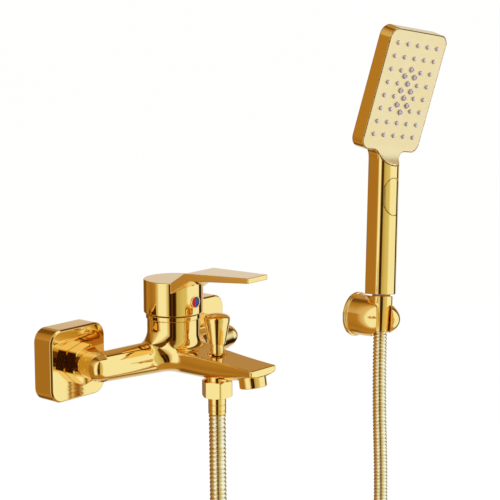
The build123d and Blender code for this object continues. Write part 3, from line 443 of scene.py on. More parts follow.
def arm_field(x, y, z):
    """Two pipes cut off at 45 degrees where they meet: one along the line from elbow to housing, whose radius
    grows along it, and one straight back to the nut, whose radius shrinks. Their common corner is the elbow."""
    side = np.abs(x)
    run_x, run_y = -elbow_x, elbow_reach - housing_reach
    share = ((side - elbow_x) * run_x + (y + elbow_reach) * run_y) / (run_x ** 2 + run_y ** 2)
    share = np.minimum(share, 1)
    off_x, off_y = side - elbow_x - share * run_x, y + elbow_reach - share * run_y
    pipe = np.sqrt(off_x ** 2 + off_y ** 2 + z ** 2) - (12.4 + 1.8 * np.clip(share, 0, 1))
    behind = np.clip((y + elbow_reach) / 13.0, 0, 1)
    round_tail = np.hypot(side - elbow_x, z)
    straight = round_tail - (12.4 - 1.6 * behind)
    corner = round_cut(pipe, straight, 6.0)
    arm = np.maximum(pipe, side - elbow_x)
    tail = round_cut(np.maximum(straight, -elbow_reach - y), y + 31.4, 0.8)
    neck = np.maximum(round_tail - 9.6, np.maximum(y + 30, -elbow_reach - y))
    collar = np.maximum(round_tail - 13.1, np.abs(y + 29.1) - 0.9)
    elbow = np.maximum(corner, np.maximum(y + 31.4, side - 90))
    return np.minimum(np.minimum(np.minimum(arm, elbow), np.minimum(tail, neck)), collar)


def housing_field(x, y, z):
    """An upright cylinder above the bowl's rim, an ellipsoid below it."""
    radius = np.hypot(x, y + housing_reach)
    upper = round_cut(radius - housing_radius, z - housing_top, 0.4)
    return np.where(z > 3.0, upper, oval_field(radius, z - 3.0, housing_radius, 18.2))

# %% [markdown]
# The spout is a blade: a flat deck over a rounded belly, changing slowly along its reach.
# It could be lofted through sections, but smooth functions of the reach give the width,
# the deck and the belly at every place, and the fillet to the arms follows them.

# %% The spout and its corner with the arms


def spout_field(x, y, z):
    """A flat deck over half an ellipse; width, deck and belly are smooth functions of the reach."""
    reach = np.clip(-y, 50.0, 158.0)
    top, bottom = np.polyval(spout_top, reach), np.polyval(spout_bottom, reach)
    rim, width = top - np.polyval(spout_side, reach), np.polyval(spout_width, reach)
    belly = oval_field(x, z - rim, width, np.maximum(rim - bottom, 2.0))
    section = round_cut(np.where(z > rim, np.abs(x) - width, belly), z - top, 1.3)
    return np.maximum(round_cut(section, -y - 156.4, 2.2), y + housing_reach)


def corner_field(x, y, z):
    """Fillet between arm and spout as seen from above. At each height both forms have a half width, the
    side of a circle or an ellipse there, and the fillet's radius shrinks towards the underside as they do."""
    reach, side = np.clip(-y, 50.0, 158.0), np.abs(x)
    run_x, run_y = elbow_x, housing_reach - elbow_reach
    length = np.hypot(run_x, run_y)
    front = ((-y - housing_reach) * run_x + side * run_y) / length
    share = np.clip(1 - side / elbow_x, 0, 1)
    arm_side = np.sqrt(np.maximum((12.4 + 1.8 * share) ** 2 - z ** 2, 0))
    rim = np.polyval(spout_top, reach) - np.polyval(spout_side, reach)
    drop = np.clip((rim - z) / (rim - np.polyval(spout_bottom, reach)), 0, 1)
    spout_edge = np.polyval(spout_width, reach) * np.sqrt(1 - drop ** 2)
    radius = 16.0 * np.sqrt(np.clip(1 - (z / 14.6) ** 2, 0.0001, 1))
    corner = round_join(front - arm_side, side - spout_edge, radius)
    corner = np.maximum(corner, np.maximum(np.maximum(-front, side - 62), -y - 140))
    deck = np.polyval(spout_top, reach)
    return round_cut(round_cut(corner, z - deck - (13.9 - deck) * ease(side, 17, 34), 2.5), -14.4 - z, 0.5)

# %% [markdown]
# A casting is drilled and turned afterwards: here for the diverter, the cartridge, the
# hose and the aerator. Boolean modifiers would leave ragged edges in a dense mesh. In a
# field a cut is the larger of two distances, and the same step rounds its edge.

# %% The cuts and the whole casting


def body_cuts(x, y, z):
    """Recess and bore for the diverter, the cartridge's chamber, the hose outlet's seat and the aerator's
    pocket: each is a cylinder round its own axis, and the nearest counts."""
    shaft = np.hypot(x, y + diverter_reach)
    deck = np.polyval(spout_top, diverter_reach)
    cut = np.maximum(shaft - 8.2, deck - 2.6 - z)
    cut = np.minimum(cut, np.maximum(shaft - 7.4, -11.2 - z))
    cut = np.minimum(cut, np.maximum(shaft - 9.0, z + 11.2))
    chamber = np.hypot(x, y + housing_reach)
    cut = np.minimum(cut, np.maximum(chamber - 17.9, -3.0 - z))
    cut = np.minimum(cut, np.maximum(chamber - 19.1, 23.5 - z))
    down_y, down_z = -np.sin(aerator_tilt), -np.cos(aerator_tilt)
    from_y, from_z = y + aerator_reach, z - aerator_top
    depth = from_y * down_y + from_z * down_z
    off = np.sqrt(np.maximum(x ** 2 + from_y ** 2 + from_z ** 2 - depth ** 2, 0))
    return np.minimum(cut, np.maximum(off - aerator_radius - 0.1, -depth))


def body_field(x, y, z):
    """The casting: arms, corners and spout, each joined to the housing with a fillet of its own, less the cuts."""
    upper = ease(z, -6.0, 6.0)
    housing = housing_field(x, y, z)
    arms = round_join(arm_field(x, y, z), housing, 0.6 + 10.4 * upper)
    corners = round_join(corner_field(x, y, z), housing, 0.6 + 8.4 * upper)
    spout = round_join(spout_field(x, y, z), housing, 0.4 + 1.8 * upper)
    body = np.minimum(np.minimum(arms, corners), spout)
    return round_cut(body, -body_cuts(x, y, z), 0.35)


points, faces, normals = field_surface(body_field, (-90, -159, -18), (90, -26, 33), 0.85)
body_cover = new_piece("body_casting", points, faces, "mixer", "gold_brass", merge=False, normals=normals)
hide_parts("mixer_body")

# %% [markdown]
# The lever's cap is a drum with a flat top. The lever grows out of its front edge: it
# climbs along a sloping face and then runs out almost level, and it narrows to its tip.
# Every face of the lever is a plane, so its field is the largest of a few plane
# distances. The drum is hollow below, round a hub for the stem.

# %% The lever handle
cap_radius, cap_bottom, cap_top, cap_roof = 25.1, 36.0, 64.2, 11.0
lever_start, lever_fold, lever_tip = (72.0, cap_top), (86.6, 74.2), (150.0, 77.0)
under_start, under_knee, under_tip = (72.0, 55.2), (92.5, 68.2), (150.0, 72.7)
lever_half_start, lever_half_tip = 19.7, 12.1
mark_height = 47.1


def above_line(reach, z, start, end):
    """Height above a sloping line through start and end, measured square to it."""
    slope = (end[1] - start[1]) / (end[0] - start[0])
    return (z - start[1] - slope * (reach - start[0])) / np.sqrt(1 + slope ** 2)


def lever_field(x, y, z):
    """Sloping planes above and below, two side planes that close in towards the tip, and a square end."""
    reach = -y
    top = np.maximum(np.minimum(z - cap_top, above_line(reach, z, lever_start, lever_fold)),
                     above_line(reach, z, lever_fold, lever_tip))
    bottom = np.minimum(-above_line(reach, z, under_knee, under_tip),
                        -above_line(reach, z, under_start, under_knee))
    narrowing = (lever_half_start - lever_half_tip) / (lever_tip[0] - lever_start[0])
    side = np.abs(x) - lever_half_start + narrowing * (reach - lever_start[0])
    side = side / np.sqrt(1 + narrowing ** 2)
    blade = round_cut(top, bottom, 0.6)
    blade = round_cut(blade, side, 0.6)
    blade = round_cut(blade, reach - lever_tip[0], 0.8)
    return np.maximum(blade, 65.7 - reach)


def handle_field(x, y, z):
    """Drum and lever together, less the hollow drum, with its hub, its web and the grub screw's hole."""
    radius = np.hypot(x, y + housing_reach)
    drum = round_cut(round_cut(radius - cap_radius, z - cap_top, 0.7), cap_bottom - z, 0.9)
    form = np.minimum(drum, lever_field(x, y, z))
    hollow = np.maximum(np.maximum(radius - 23.7, z - (cap_top - cap_roof)), cap_bottom - 2 - z)
    hub = np.maximum(radius - 8.5, 43.0 - z)
    web = np.maximum(np.maximum(np.abs(x) - 4.25, 43.0 - z), y + housing_reach)
    hollow = np.maximum(hollow, -np.minimum(hub, web))
    stem = np.maximum(np.maximum(np.abs(x), np.abs(y + housing_reach)) - 4.1, z - 57.3)
    across = np.hypot(x, z - mark_height)
    hole = np.maximum(across - 4.0, y + housing_reach + cap_radius - 2.4)
    screw = np.maximum(across - 2.5, y + housing_reach)
    cuts = np.minimum(np.minimum(hollow, stem), np.minimum(hole, screw))
    return round_cut(form, -cuts, 0.3)


points, faces, normals = field_surface(handle_field, (-26, -152, 34), (26, -31, 79), 0.62)
handle_cover = new_piece("lever_handle", points, faces, "lever", "gold_brass", merge=False, normals=normals)
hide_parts("handle")

# %% [markdown]
# A plug closes the screw's hole in the cap. It is a red and a blue half in a thin gold
# bezel, and shows which way is hot and cold. One disc with two colours would do from
# afar. Here each half is a piece of its own, a D-shaped dome, as the real inlays are.

# %% The mark
mark_place = (0, -housing_reach - cap_radius + 0.1, mark_height)
turned_piece("mark_bezel", rounded_line([(4.5, 0.0), (4.5, 0.5), (5.4, 0.5), (5.4, -0.9), (4.5, -0.9), (4.5, 0.0)],
                                        [0.2, 0.3, 0.0, 0.0]),
             mark_place, "lever", "gold_brass", z_axis=(0, -1, 0), segments=48)


def half_mark_grid(radius=4.55):
    """Outline of a D, half a circle and its diameter, at share s from its middle. The height is a shallow dome."""
    t = np.linspace(-np.pi / 2, np.pi / 2, 32)
    arc = np.stack([radius * np.cos(t), radius * np.sin(t)], axis=1)
    straight = np.stack([np.zeros(14), np.linspace(radius, -radius, 16)[1:-1]], axis=1)
    outline, middle = np.concatenate([arc, straight]), np.array([radius * 0.4, 0.0])
    share = np.array([0, 0.3, 0.6, 0.85, 0.96, 1.0, 1.0])[:, None, None]
    flat = middle + share * (outline - middle)
    out = 0.45 - 0.015 * (flat ** 2).sum(2)
    out[-1] = -0.8
    return np.concatenate([flat, out[..., None]], axis=2).reshape(-1, 3), grid_faces(7, 46)


for half_name, half_side, half_slot in (("hot", -1, "red_plastic"), ("cold", 1, "blue_plastic")):
    points, faces = half_mark_grid()
    points = placed(points, mark_place, (half_side, 0, 0), (0, 0, half_side), (0, -1, 0))
    rim = tuple(range(len(points) - 46, len(points)))
    half_cover = new_piece(f"mark_{half_name}", points, faces, "lever", half_slot, caps=[rim])
    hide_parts(f"indicator_{half_name}")

# %% [markdown]
# Below the cap a bright ring covers the nut that holds the cartridge. It is turned from
# bar: a profile of radius and height, carried round the housing's axis.

# %% The ring under the cap
ring_cover = turned_piece(
    "trim_band",
    rounded_line([(15.7, 35.3), (23.3, 35.3), (23.3, 31.1), (19.2, 31.1), (19.2, 34.0), (15.7, 34.0), (15.7, 35.3)],
                 [0.9, 0.7, 0.2, 0.2, 0.2]),
    (0, -housing_reach, 0), "mixer", "gold_brass", segments=144)
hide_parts("trim_ring")

# %% [markdown]
# The diverter's knob lifts to send water to the hose. It is turned: a slim neck, a step, a
# body that widens upwards and a low dome. The aerator's sleeve under the spout's tip is
# turned as well, and leans forward by ten degrees. A profile with small arcs at
# its corners gives the fine bright lines that a lathe's edges have.

# %% The diverter's knob and the aerator's sleeve
dome = np.linspace(0, np.pi / 2, 14)[1:]
knob_lower = rounded_line([(0, 7.7), (5.6, 7.7), (5.6, 15.6), (7.1, 15.6), (7.3, 16.6), (10.8, 34.6), (10.9, 37.0)],
                          [0.4, 0.5, 0.3, 0.4, 0.8])
knob_upper = np.stack([10.9 * np.cos(dome), 37.0 + 4.0 * np.sin(dome)], axis=1)
knob_cover = turned_piece("diverter_pull", np.concatenate([knob_lower, knob_upper]), (0, -diverter_reach, 0),
                          "diverter", "gold_brass")
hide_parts("diverter_knob")
aerator_down = (0, -np.sin(aerator_tilt), -np.cos(aerator_tilt))
aerator_cover = turned_piece(
    "aerator_sleeve",
    rounded_line([(9.9, 0), (aerator_radius, 0), (aerator_radius, 13.2), (8.6, 13.2), (8.6, 12.0), (9.9, 12.0),
                  (9.9, 0)], [0.2, 0.9, 0.5, 0.2, 0.2]),
    (0, -aerator_reach, aerator_top), "mixer", "gold_brass", z_axis=aerator_down)
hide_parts("aerator_housing")

# %% [markdown]
# A hexagon nut is cut from six-sided bar and its corners are turned off near both ends. It
# could be a six-sided prism with a bevel, but the turned corners are arcs, not flats.
# So its radius is that of the hexagon or that of a cone, whichever is smaller.

# %% Nuts


def hexagon_grid(flats, height, edge, bore, turn=0.0, lift=0.4):
    """Radius at angle t and height h: the smaller of flats / 2 / cos(t to the nearest flat) and the bevel cone."""
    t = np.linspace(0, 2 * np.pi, 240, endpoint=False) + np.radians(turn)
    local = (t - np.radians(turn) + np.pi / 6) % (np.pi / 3) - np.pi / 6
    hexagon = flats / 2 / np.cos(local)
    corner = flats / np.sqrt(3)
    hexagon = np.minimum(hexagon, corner - 0.35)
    rise = np.concatenate([[0], np.linspace(0, edge, 7)[1:] * 0.6, [height / 2]])
    rise = np.concatenate([rise, height - rise[-2::-1]])
    near = np.minimum(rise, height - rise)
    bevel = corner - edge + near / 0.6
    radius = np.minimum(hexagon[None, :], bevel[:, None])
    rings = [np.full_like(radius[:1], bore), radius, np.full_like(radius[:1], bore)]
    radius = np.concatenate(rings)
    level = np.concatenate([[0], rise, [height]])[:, None] + 0 * radius
    points = np.stack([radius * np.cos(t), radius * np.sin(t), level], axis=-1)
    return points.reshape(-1, 3), grid_faces(len(radius), 240, wrap_rows=True)


points, faces = hexagon_grid(23.2, 13.6, 1.4, 7.6, turn=23.4)
hose_nut_cover = new_piece("hose_nut_cover", points + (0, -diverter_reach, -28.8), faces, "mixer",
                           "gold_brass", sharp=20)
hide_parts("hose_nut")
points, faces = hexagon_grid(30.0, 10.8, 1.6, 10.5, turn=-14.0)
for side, name in ((-1, "left"), (1, "right")):
    nut_points = placed(points, (side * elbow_x, -20.8, 0), (1, 0, 0), (0, 0, 1), (0, -1, 0))
    nut_cover = new_piece(f"union_nut_cover_{name}", nut_points, faces, "mixer", "gold_brass", sharp=20)
    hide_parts(f"union_nut_{name}")

# %% [markdown]
# The square covers hide the holes in the wall. They are pressed from sheet: a square with
# round corners, flat in front, with a bright bevel round the face. A bevelled box
# would do from the front, but from behind the real one is a hollow shell. Rings of the
# same outline, each a little smaller or further out, make the bevel, the wall and the inside.

# %% Square wall covers


def square_outline(width, corner, steps=14):
    """A square with round corners as points: four quarter circles, one after the other."""
    t = np.linspace(0, np.pi / 2, steps)
    parts = []
    for quarter in range(4):
        turn = quarter * np.pi / 2
        centre = (width / 2 - corner) * np.sqrt(2) * np.array([np.cos(turn + np.pi / 4), np.sin(turn + np.pi / 4)])
        parts.append(centre + corner * np.stack([np.cos(t + turn), np.sin(t + turn)], axis=1))
    return np.concatenate(parts)


def cover_grid(width, corner, profile):
    """Rings of the square outline: each (inset, depth) of the profile gives one ring, closed inside and out."""
    rings = []
    for inset, depth in profile:
        outline = square_outline(width - 2 * inset, max(corner - inset, 0.5))
        rings.append(np.concatenate([outline, np.full((len(outline), 1), depth)], axis=1))
    count = len(rings[0])
    return np.concatenate(rings), grid_faces(len(rings), count), count


cover_width, cover_corner, cover_depth, cover_sheet, cover_hole = 60.6, 11.6, 20.5, 1.6, 13.5
cover_profile = rounded_line([(cover_sheet, 18.9), (cover_sheet, 0.0), (0.0, 0.0), (0.0, 19.0), (1.4, cover_depth),
                              (3.0, cover_depth)], [0.2, 0.6, 0.9, 0.7], steps=5)
points, faces, count = cover_grid(cover_width, cover_corner, cover_profile)
t = np.linspace(0, 2 * np.pi, count, endpoint=False)
for side, name in ((-1, "left"), (1, "right")):
    hole_front = np.stack([cover_hole * np.cos(t), cover_hole * np.sin(t), 0 * t + cover_depth], axis=1)
    all_points = placed(np.concatenate([points, hole_front, hole_front - (0, 0, cover_sheet)]),
                        (side * elbow_x, 0, 0), (1, 0, 0), (0, 0, 1), (0, -1, 0))
    last, total = len(points) - count, len(points)
    order = np.arange(count)
    after = (order + 1) % count
    front = np.stack([last + order, last + after, total + after, total + order], axis=1)
    wall = np.stack([total + order, total + after, total + count + after, total + count + order], axis=1)
    back = np.stack([total + count + order, total + count + after, after, order], axis=1)
    cover = new_piece(f"square_cover_{name}", all_points, np.concatenate([faces, front, wall, back]), "mixer",
                      "gold_brass")
    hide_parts(f"escutcheon_{name}")

# %% [markdown]
# The hand shower leans in its bracket, to the side and forwards. It could be modelled in
# that pose, but it is far easier to draw upright, in axes of its own. A matrix then
# turns every point, and the bracket's seat uses the same matrix, so that both agree.

# %% The places of the bracket and the hand shower
bracket_middle = np.array([335.3, 0.0, -29.0])
bracket_flange, bracket_barrel, seat_reach, seat_rise = 22.9, 20.9, 31.5, 24.2


def turn_matrix(axis, degrees):
    """Matrix that turns a point about one of the three axes."""
    a, b = np.cos(np.radians(degrees)), np.sin(np.radians(degrees))
    matrix = np.eye(3)
    i, j = {"x": (1, 2), "y": (2, 0), "z": (0, 1)}[axis]
    matrix[i, i], matrix[i, j], matrix[j, i], matrix[j, j] = a, -b, b, a
    return matrix


lean = turn_matrix("y", 7.9) @ turn_matrix("x", -4.7)
handset_origin = bracket_middle + (0, -seat_reach, 0) + lean @ np.array([0, 0, seat_rise])
handset_axes = lean @ turn_matrix("z", -4.2)
print("hand shower stands at", np.round(handset_origin, 2), "along", np.round(lean[:, 2], 4))


def in_handset(points, turned=True):
    """Points given in the hand shower's own axes, in the row's axes."""
    return handset_origin + np.asarray(points) @ (handset_axes if turned else lean).T


# %% [markdown]
# The bracket holds the hand shower on the wall: a round flange with a barrel that ends in
# a dome. A conical seat goes through it for the hose's nut, with a flared mouth, and
# a slot lets the hose in from the side. Boolean cuts would leave sharp edges, so the
# bracket is a distance field too, where each cut gets its own edge radius.

# %% The bracket


def bracket_field(x, y, z):
    """Flange, barrel and ellipsoid dome along the reach, less the seat, its flared mouth and the slot."""
    reach, radius = -y, np.hypot(x - bracket_middle[0], z - bracket_middle[2])
    dome = oval_field(radius, reach - 14.0, bracket_barrel, 39.4)
    barrel = np.where(reach < 14.0, radius - bracket_barrel, dome)
    flange = round_cut(radius - bracket_flange, reach - 3.2, 1.0)
    form = round_cut(round_join(barrel, flange, 1.2), -reach, 0.3)
    local = [lean[0, k] * (x - handset_origin[0]) + lean[1, k] * (y - handset_origin[1])
             + lean[2, k] * (z - handset_origin[2]) for k in range(3)]
    share = np.clip((local[2] + 38.0) / (38.0 - 9.1), 0, 1)
    around = np.hypot(local[0], local[1])
    seat = np.minimum(around - (9.3 + 2.8 * share), (around - 12.1 - np.maximum(local[2] + 7.6, -4)) * 0.707)
    azimuth = np.radians(40.0)
    along = -local[0] * np.sin(azimuth) - local[1] * np.cos(azimuth)
    across = local[0] * np.cos(azimuth) - local[1] * np.sin(azimuth)
    slot = np.maximum(np.abs(across) - 7.6, -along)
    space = round_join(seat, slot, 1.2)
    back = np.maximum(radius - 17.5, reach - 12.0)
    return round_cut(round_cut(form, -space, 0.8), -back, 0.3)


points, faces, normals = field_surface(bracket_field, (310, -56, -54), (361, 1, -4), 0.6)
bracket_cover = new_piece("bracket_casting", points, faces, "mixer", "gold_brass", merge=False, normals=normals)
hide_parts("bracket_body")

# %% [markdown]
# The hand shower's shell is moulded plastic with the same gold plating: a grip with a flat
# back, flat sides and a round front, and a head with round corners on a neck. The head's
# face runs down into a hollow that ends in a crisp edge at the top of the grip. A
# subdivided box could come near it, but the mirror finish shows each uneven spot, so
# section, outline and hollow are exact arcs and planes, joined as fields.

# %% The hand shower's shell
head_tilt = np.radians(17.7)
head_reach, head_height, head_depth = 24.2, 205.2, 14.6
head_half_width, head_half_height, head_corner = 45.2, 62.15, 11.0
face_up, face_out = (-np.sin(head_tilt), np.cos(head_tilt)), (-np.cos(head_tilt), -np.sin(head_tilt))
scoop_start = 151.0
scoop_y = -head_reach + (head_height - scoop_start) * np.tan(head_tilt)
scoop_run = np.array([-16.2 - scoop_y, 131.0 - scoop_start])
scoop_radius = (scoop_run @ scoop_run) / (2 * (scoop_run @ np.array(face_out)))
scoop_centre = np.array([scoop_y, scoop_start]) + scoop_radius * np.array(face_out)


grip_half, grip_back, grip_side = 15.0, 10.8, 3.4
corner_radius, corner_turn = 7.0, np.radians(46.0)
front_radius = (grip_half - corner_radius * (1 - np.sin(corner_turn))) / np.sin(corner_turn)
front_centre = -grip_side + (front_radius - corner_radius) * np.cos(corner_turn)


def grip_field(x, y):
    """A wide arc in front, a tighter arc at each side of it, and a rectangle with round corners behind."""
    side = np.abs(x)
    tight = np.hypot(side - grip_half + corner_radius, y + grip_side) - corner_radius
    wide = np.hypot(x, y - front_centre) - front_radius
    in_wide = side * np.cos(corner_turn) < (front_centre - y) * np.sin(corner_turn)
    in_tight = side > grip_half - corner_radius
    front = np.where(in_wide, wide, np.where(in_tight, tight, -corner_radius))
    rear = rounded_box_field(x, np.maximum(y, -5.0), grip_half, grip_back, 3.0)
    return np.where(y < -grip_side, front, rear)

# %% [markdown]
# The head leans forward in the hand shower, so its outline and face have axes of their
# own. Both are functions that the shell and the thin face plate share. Two separate
# models could drift apart, and the hairline between them would not stay even.

# %% The head's outline and its face


def face_height(y, z):
    """Distance in front of the head's face."""
    return (y + head_reach) * face_out[0] + (z - head_height) * face_out[1]


def hollow_field(y, z):
    """Space in front of the face, and a round hollow below the place where the face ends."""
    below = (y - scoop_y) * face_up[0] + (z - scoop_start) * face_up[1]
    ball = np.hypot(y - scoop_centre[0], z - scoop_centre[1]) - scoop_radius
    return np.where(below > 0, -face_height(y, z), ball)


def head_outline_field(x, up):
    """A rounded rectangle joined to a straight neck with a fillet."""
    plate = rounded_box_field(x, up, head_half_width, head_half_height, head_corner)
    neck = np.maximum(np.abs(x) - grip_half, np.maximum(up + 40.0, -90.0 - up))
    return round_join(plate, neck, 10.0)


button_height, button_half_width, button_straight = 99.4, 11.0, 8.0
side_draft = 0.08


def button_outline_field(x, z):
    """An upright oval with straight sides."""
    return np.hypot(x, np.maximum(np.abs(z - button_height) - button_straight, 0)) - button_half_width

# %% [markdown]
# The plate is a thin layer along the face, cut to the outline. The shell is head and grip
# less the hollow, the plate and the button's opening. Because the shell is cut by the
# plate's own field, a little larger, the gap round the plate comes out even.

# %% The face plate and the whole shell


def face_plate_field(x, y, z, gap):
    """The thin face: it follows the front of the head and the hollow, inside the outline of head, neck and grip."""
    up = (y + head_reach) * face_up[0] + (z - head_height) * face_up[1]
    outline = head_outline_field(x, up) + 1.1 - gap
    depth = hollow_field(y, z)
    sheet = np.maximum(depth - 1.5 - gap, -depth - 4 * gap)
    sheet = round_cut(outline, np.maximum(sheet, -22.0 - y - 60 * ease(z, 150.0, 156.0)), 0.25)
    return np.maximum(sheet, np.maximum(grip_field(x, y) - 60 * ease(z, 140.0, 150.0) + 0.5 - gap, 120.0 - z))


def shell_field(x, y, z):
    """Head and grip joined, less the hollow in front, the recess of the spray face and the button's opening."""
    up = (y + head_reach) * face_up[0] + (z - head_height) * face_up[1]
    out = face_height(y, z)
    draft = side_draft * np.clip(out, -head_depth, 0.0) * ease(up, -76.0, -60.0)
    outline = head_outline_field(x, up) + draft
    head = round_cut(round_cut(outline, y - grip_back, 3.0), out, 0.3)
    head = np.maximum(round_cut(head, -head_depth - out, 1.6), -84.0 - up)
    grip = round_cut(round_cut(grip_field(x, y), -z, 1.0), -head_depth - out, 1.6)
    form = np.minimum(head, np.maximum(grip, z - 156.0))
    form = round_cut(form, -hollow_field(y, z), 0.35)
    button = np.maximum(np.maximum(button_outline_field(x, z) - 0.22, y + 4.0), -30 - y)
    return round_cut(form, -np.minimum(face_plate_field(x, y, z, 0.3), button), 0.2)


points, faces, normals = field_surface(shell_field, (-47.5, -47, -1.5), (47.5, 12.5, 270), 0.78)
shell_cover = new_piece("handset_moulding", in_handset(points), faces, "handset", "gold_plated_plastic",
                        merge=False, normals=normals @ handset_axes.T)
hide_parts("handset_shell")

# %% [markdown]
# The spray face is a thin satin plate that follows the head and runs down into the hollow,
# with a hairline gap all round. A flat plate would stop at the neck, so it is the layer
# just behind the hollow's own surface, inside the head's outline.

# %% The spray face


def on_face(points):
    """Points given as (across, up, out) from the middle of the head's face, in the row's axes."""
    points = np.asarray(points)
    across, up, out = points[..., 0], points[..., 1], points[..., 2]
    y = -head_reach + up * face_up[0] + out * face_out[0]
    z = head_height + up * face_up[1] + out * face_out[1]
    return in_handset(np.stack([across, y, z], axis=-1).reshape(-1, 3))


points, faces, normals = field_surface(lambda x, y, z: face_plate_field(x, y, z, 0.0),
                                       (-45.5, -45, 129), (45.5, 4, 267), 0.8)
spray_cover = new_piece("satin_face", in_handset(points), faces, "handset", "satin_gold", merge=False,
                        normals=normals @ handset_axes.T)
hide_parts("spray_plate")

# %% [markdown]
# Rubber nozzles stand through the plate in a grid. In the middle, larger ones stand
# staggered, each a ring round a small post. Forty-six objects would crowd the scene,
# so each kind is one mesh: a small profile, added to every place as arrays. Thin black
# rings in the black rubber finish are painted shade, for the shadow in the gaps and grooves.

# %% The nozzles
nozzle_lift, nozzle_across, nozzle_up, middle_up = 0.9, 15.6, 13.4, 14.8
rows, columns = np.meshgrid(np.arange(8), np.arange(5), indexing="ij")
small = ~((columns == 2) & (rows >= 2) & (rows < 6))
small_places = np.stack([(columns[small] - 2) * nozzle_across,
                         nozzle_lift + (3.5 - rows[small]) * nozzle_up], axis=1)
line_rows = np.arange(4)
middle_places = np.stack([0.0 * line_rows, nozzle_lift + (1.5 - line_rows) * middle_up], axis=1)
between = np.array([(side * nozzle_across / 2, nozzle_lift + (1.0 - row) * middle_up)
                    for row in range(3) for side in (-1, 1)])
large_places = np.concatenate([middle_places, between])


def repeated_grid(places, profile):
    """The turned profile at every place: each point is the profile's own point plus the place."""
    own, own_faces = turned_grid(profile, 18)
    points = own[None] + np.concatenate([places, np.zeros((len(places), 1))], axis=1)[:, None]
    faces = own_faces[None] + (np.arange(len(places)) * len(own))[:, None, None]
    return points.reshape(-1, 3), faces.reshape(-1, 4)


# Painted shade: thin rings in the black rubber finish, laid where the gaps round the nozzles and the grooves of the
# large ones lie in shadow.
for name, places, inner, outer, out in (("small_gap_shade", small_places, 1.6, 2.35, 0.06),
                                        ("large_gap_shade", large_places, 2.3, 3.0, 0.06),
                                        ("large_groove_shade", large_places, 1.1, 1.76, 0.68)):
    points, faces = repeated_grid(places, np.array([(outer, out), (inner, out)]))
    new_piece(name, on_face(points), faces, "handset", "black_rubber")

small_radius, large_radius = 1.95, 2.5
cone = rounded_line([(small_radius, -0.4), (small_radius * 0.9, 2.2), (0, 2.2)], [0.5], steps=3)
ring_and_post = rounded_line([(large_radius, -0.4), (large_radius, 2.0), (large_radius * 0.76, 2.0),
                              (large_radius * 0.7, 0.6), (large_radius * 0.44, 0.6), (large_radius * 0.4, 1.7),
                              (0, 1.7)], [0.3, 0.15, 0.1, 0.1, 0.3], steps=3)
for name, places, profile in (("small_nozzles", small_places, cone),
                              ("large_nozzles", large_places, ring_and_post)):
    points, faces = repeated_grid(places, profile)
    nozzle_cover = new_piece(name, on_face(points), faces, "handset", "grey_silicone", sharp=50)
    if name == "small_nozzles":
        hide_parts("nozzle_mat")

# %% [markdown]
# The spray button lies flush in the grip's front, an upright oval with a fine gap round it.
# It could be cut out of the shell's own mesh, but it moves, so it is a piece: a
# grid from the oval's middle to its rim, which grows from nothing to the full outline
# and takes its depth from the grip's wide arc.

# %% The spray button


def button_grid(rings=18, around=96):
    """Oval at share s of its outline: x and z scale with s, y lies on the grip's wide arc, and the rim
    turns inwards."""
    t = np.linspace(0, 2 * np.pi, around, endpoint=False)
    radius = button_half_width - 0.15
    oval_x, oval_z = radius * np.cos(t), radius * np.sin(t) + button_straight * np.sign(np.sin(t))
    share = np.concatenate([np.linspace(0, 0.94, rings - 4), [0.97, 0.99, 1.0, 1.0]])[:, None]
    sink = np.concatenate([np.zeros(rings - 4), [0.04, 0.16, 0.4, 3.0]])[:, None]
    x, z = share * oval_x, share * oval_z
    y = front_centre - np.sqrt(front_radius ** 2 - x ** 2) + sink
    return np.stack([x, y, z + button_height], axis=-1).reshape(-1, 3), grid_faces(rings, around)


points, faces = button_grid()
rim = tuple(range(len(points) - 96, len(points)))
button_cover = new_piece("oval_button", in_handset(points), faces, "button", "gold_plated_plastic", caps=[rim])
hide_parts("spray_button")

# %% [markdown]
# The hose ends in a conical nut, which is also what rests in the bracket. It has a short
# straight band at its top, and a grey plastic ring shows between it and the grip.
# Both are turned profiles, placed along the hand shower's own axis.

# %% The conical nut and the grey ring
cone_profile = rounded_line([(5.8, -38.0), (9.0, -38.0), (11.8, -9.1), (11.8, -1.7), (8.6, -1.7), (8.6, -17.0),
                             (5.8, -17.0), (5.8, -38.0)], [0.8, 0.8, 0.8, 0.3, 0.1, 0.1])
points, faces = turned_grid(cone_profile, 96)
cone_cover = new_piece("conical_nut", in_handset(points, turned=False), faces, "handset", "gold_brass")
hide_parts("cone_nut")
ring_profile = rounded_line([(8.45, -1.6), (9.3, -1.6), (9.3, 0.0), (8.45, 0.0), (8.45, -1.6)], [0.3, 0.3, 0.1])
points, faces = turned_grid(ring_profile, 96)
grey_cover = new_piece("grey_ring", in_handset(points, turned=False), faces, "handset", "grey_plastic")
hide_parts("cone_washer")

# %% [markdown]
# Polished gold plating is a metal surface with very low roughness, so nearly all of its
# look comes from what it mirrors. Small effects keep it from looking perfect: the casting
# below is never quite flat, the polish leaves faint wiping marks, the colour is a touch
# deeper in places, and mouldings have a fine grain. Several finishes share these
# effects, so each is a shader group, built once.

# %% Shader groups


def new_group(name, inputs, outputs):
    """An empty shader group with named sockets; inputs is a list of (name, kind, value)."""
    group = bpy.data.node_groups.new(name, "ShaderNodeTree")
    for socket_name, kind, value in inputs:
        socket = group.interface.new_socket(name=socket_name, in_out="INPUT", socket_type=kind)
        socket.default_value = value
    for socket_name, kind in outputs:
        group.interface.new_socket(name=socket_name, in_out="OUTPUT", socket_type=kind)
    start, end = group.nodes.new("NodeGroupInput"), group.nodes.new("NodeGroupOutput")
    return group, start.outputs, end.inputs


def add_node(tree, kind, **values):
    """A node with its properties and, where a name is a socket, that socket's value."""
    node = tree.nodes.new(kind)
    for name, value in values.items():
        if name in node.inputs:
            node.inputs[name].default_value = value
        else:
            setattr(node, name, value)
    return node

# %% [markdown]
# Marks of a wiping cloth, waves of a casting and the grain of a moulding are all noise,
# stretched or scaled differently. Images would blur from near by and need a UV map,
# and noise on Object coordinates needs neither.

# %% Wiping marks, waves and grain


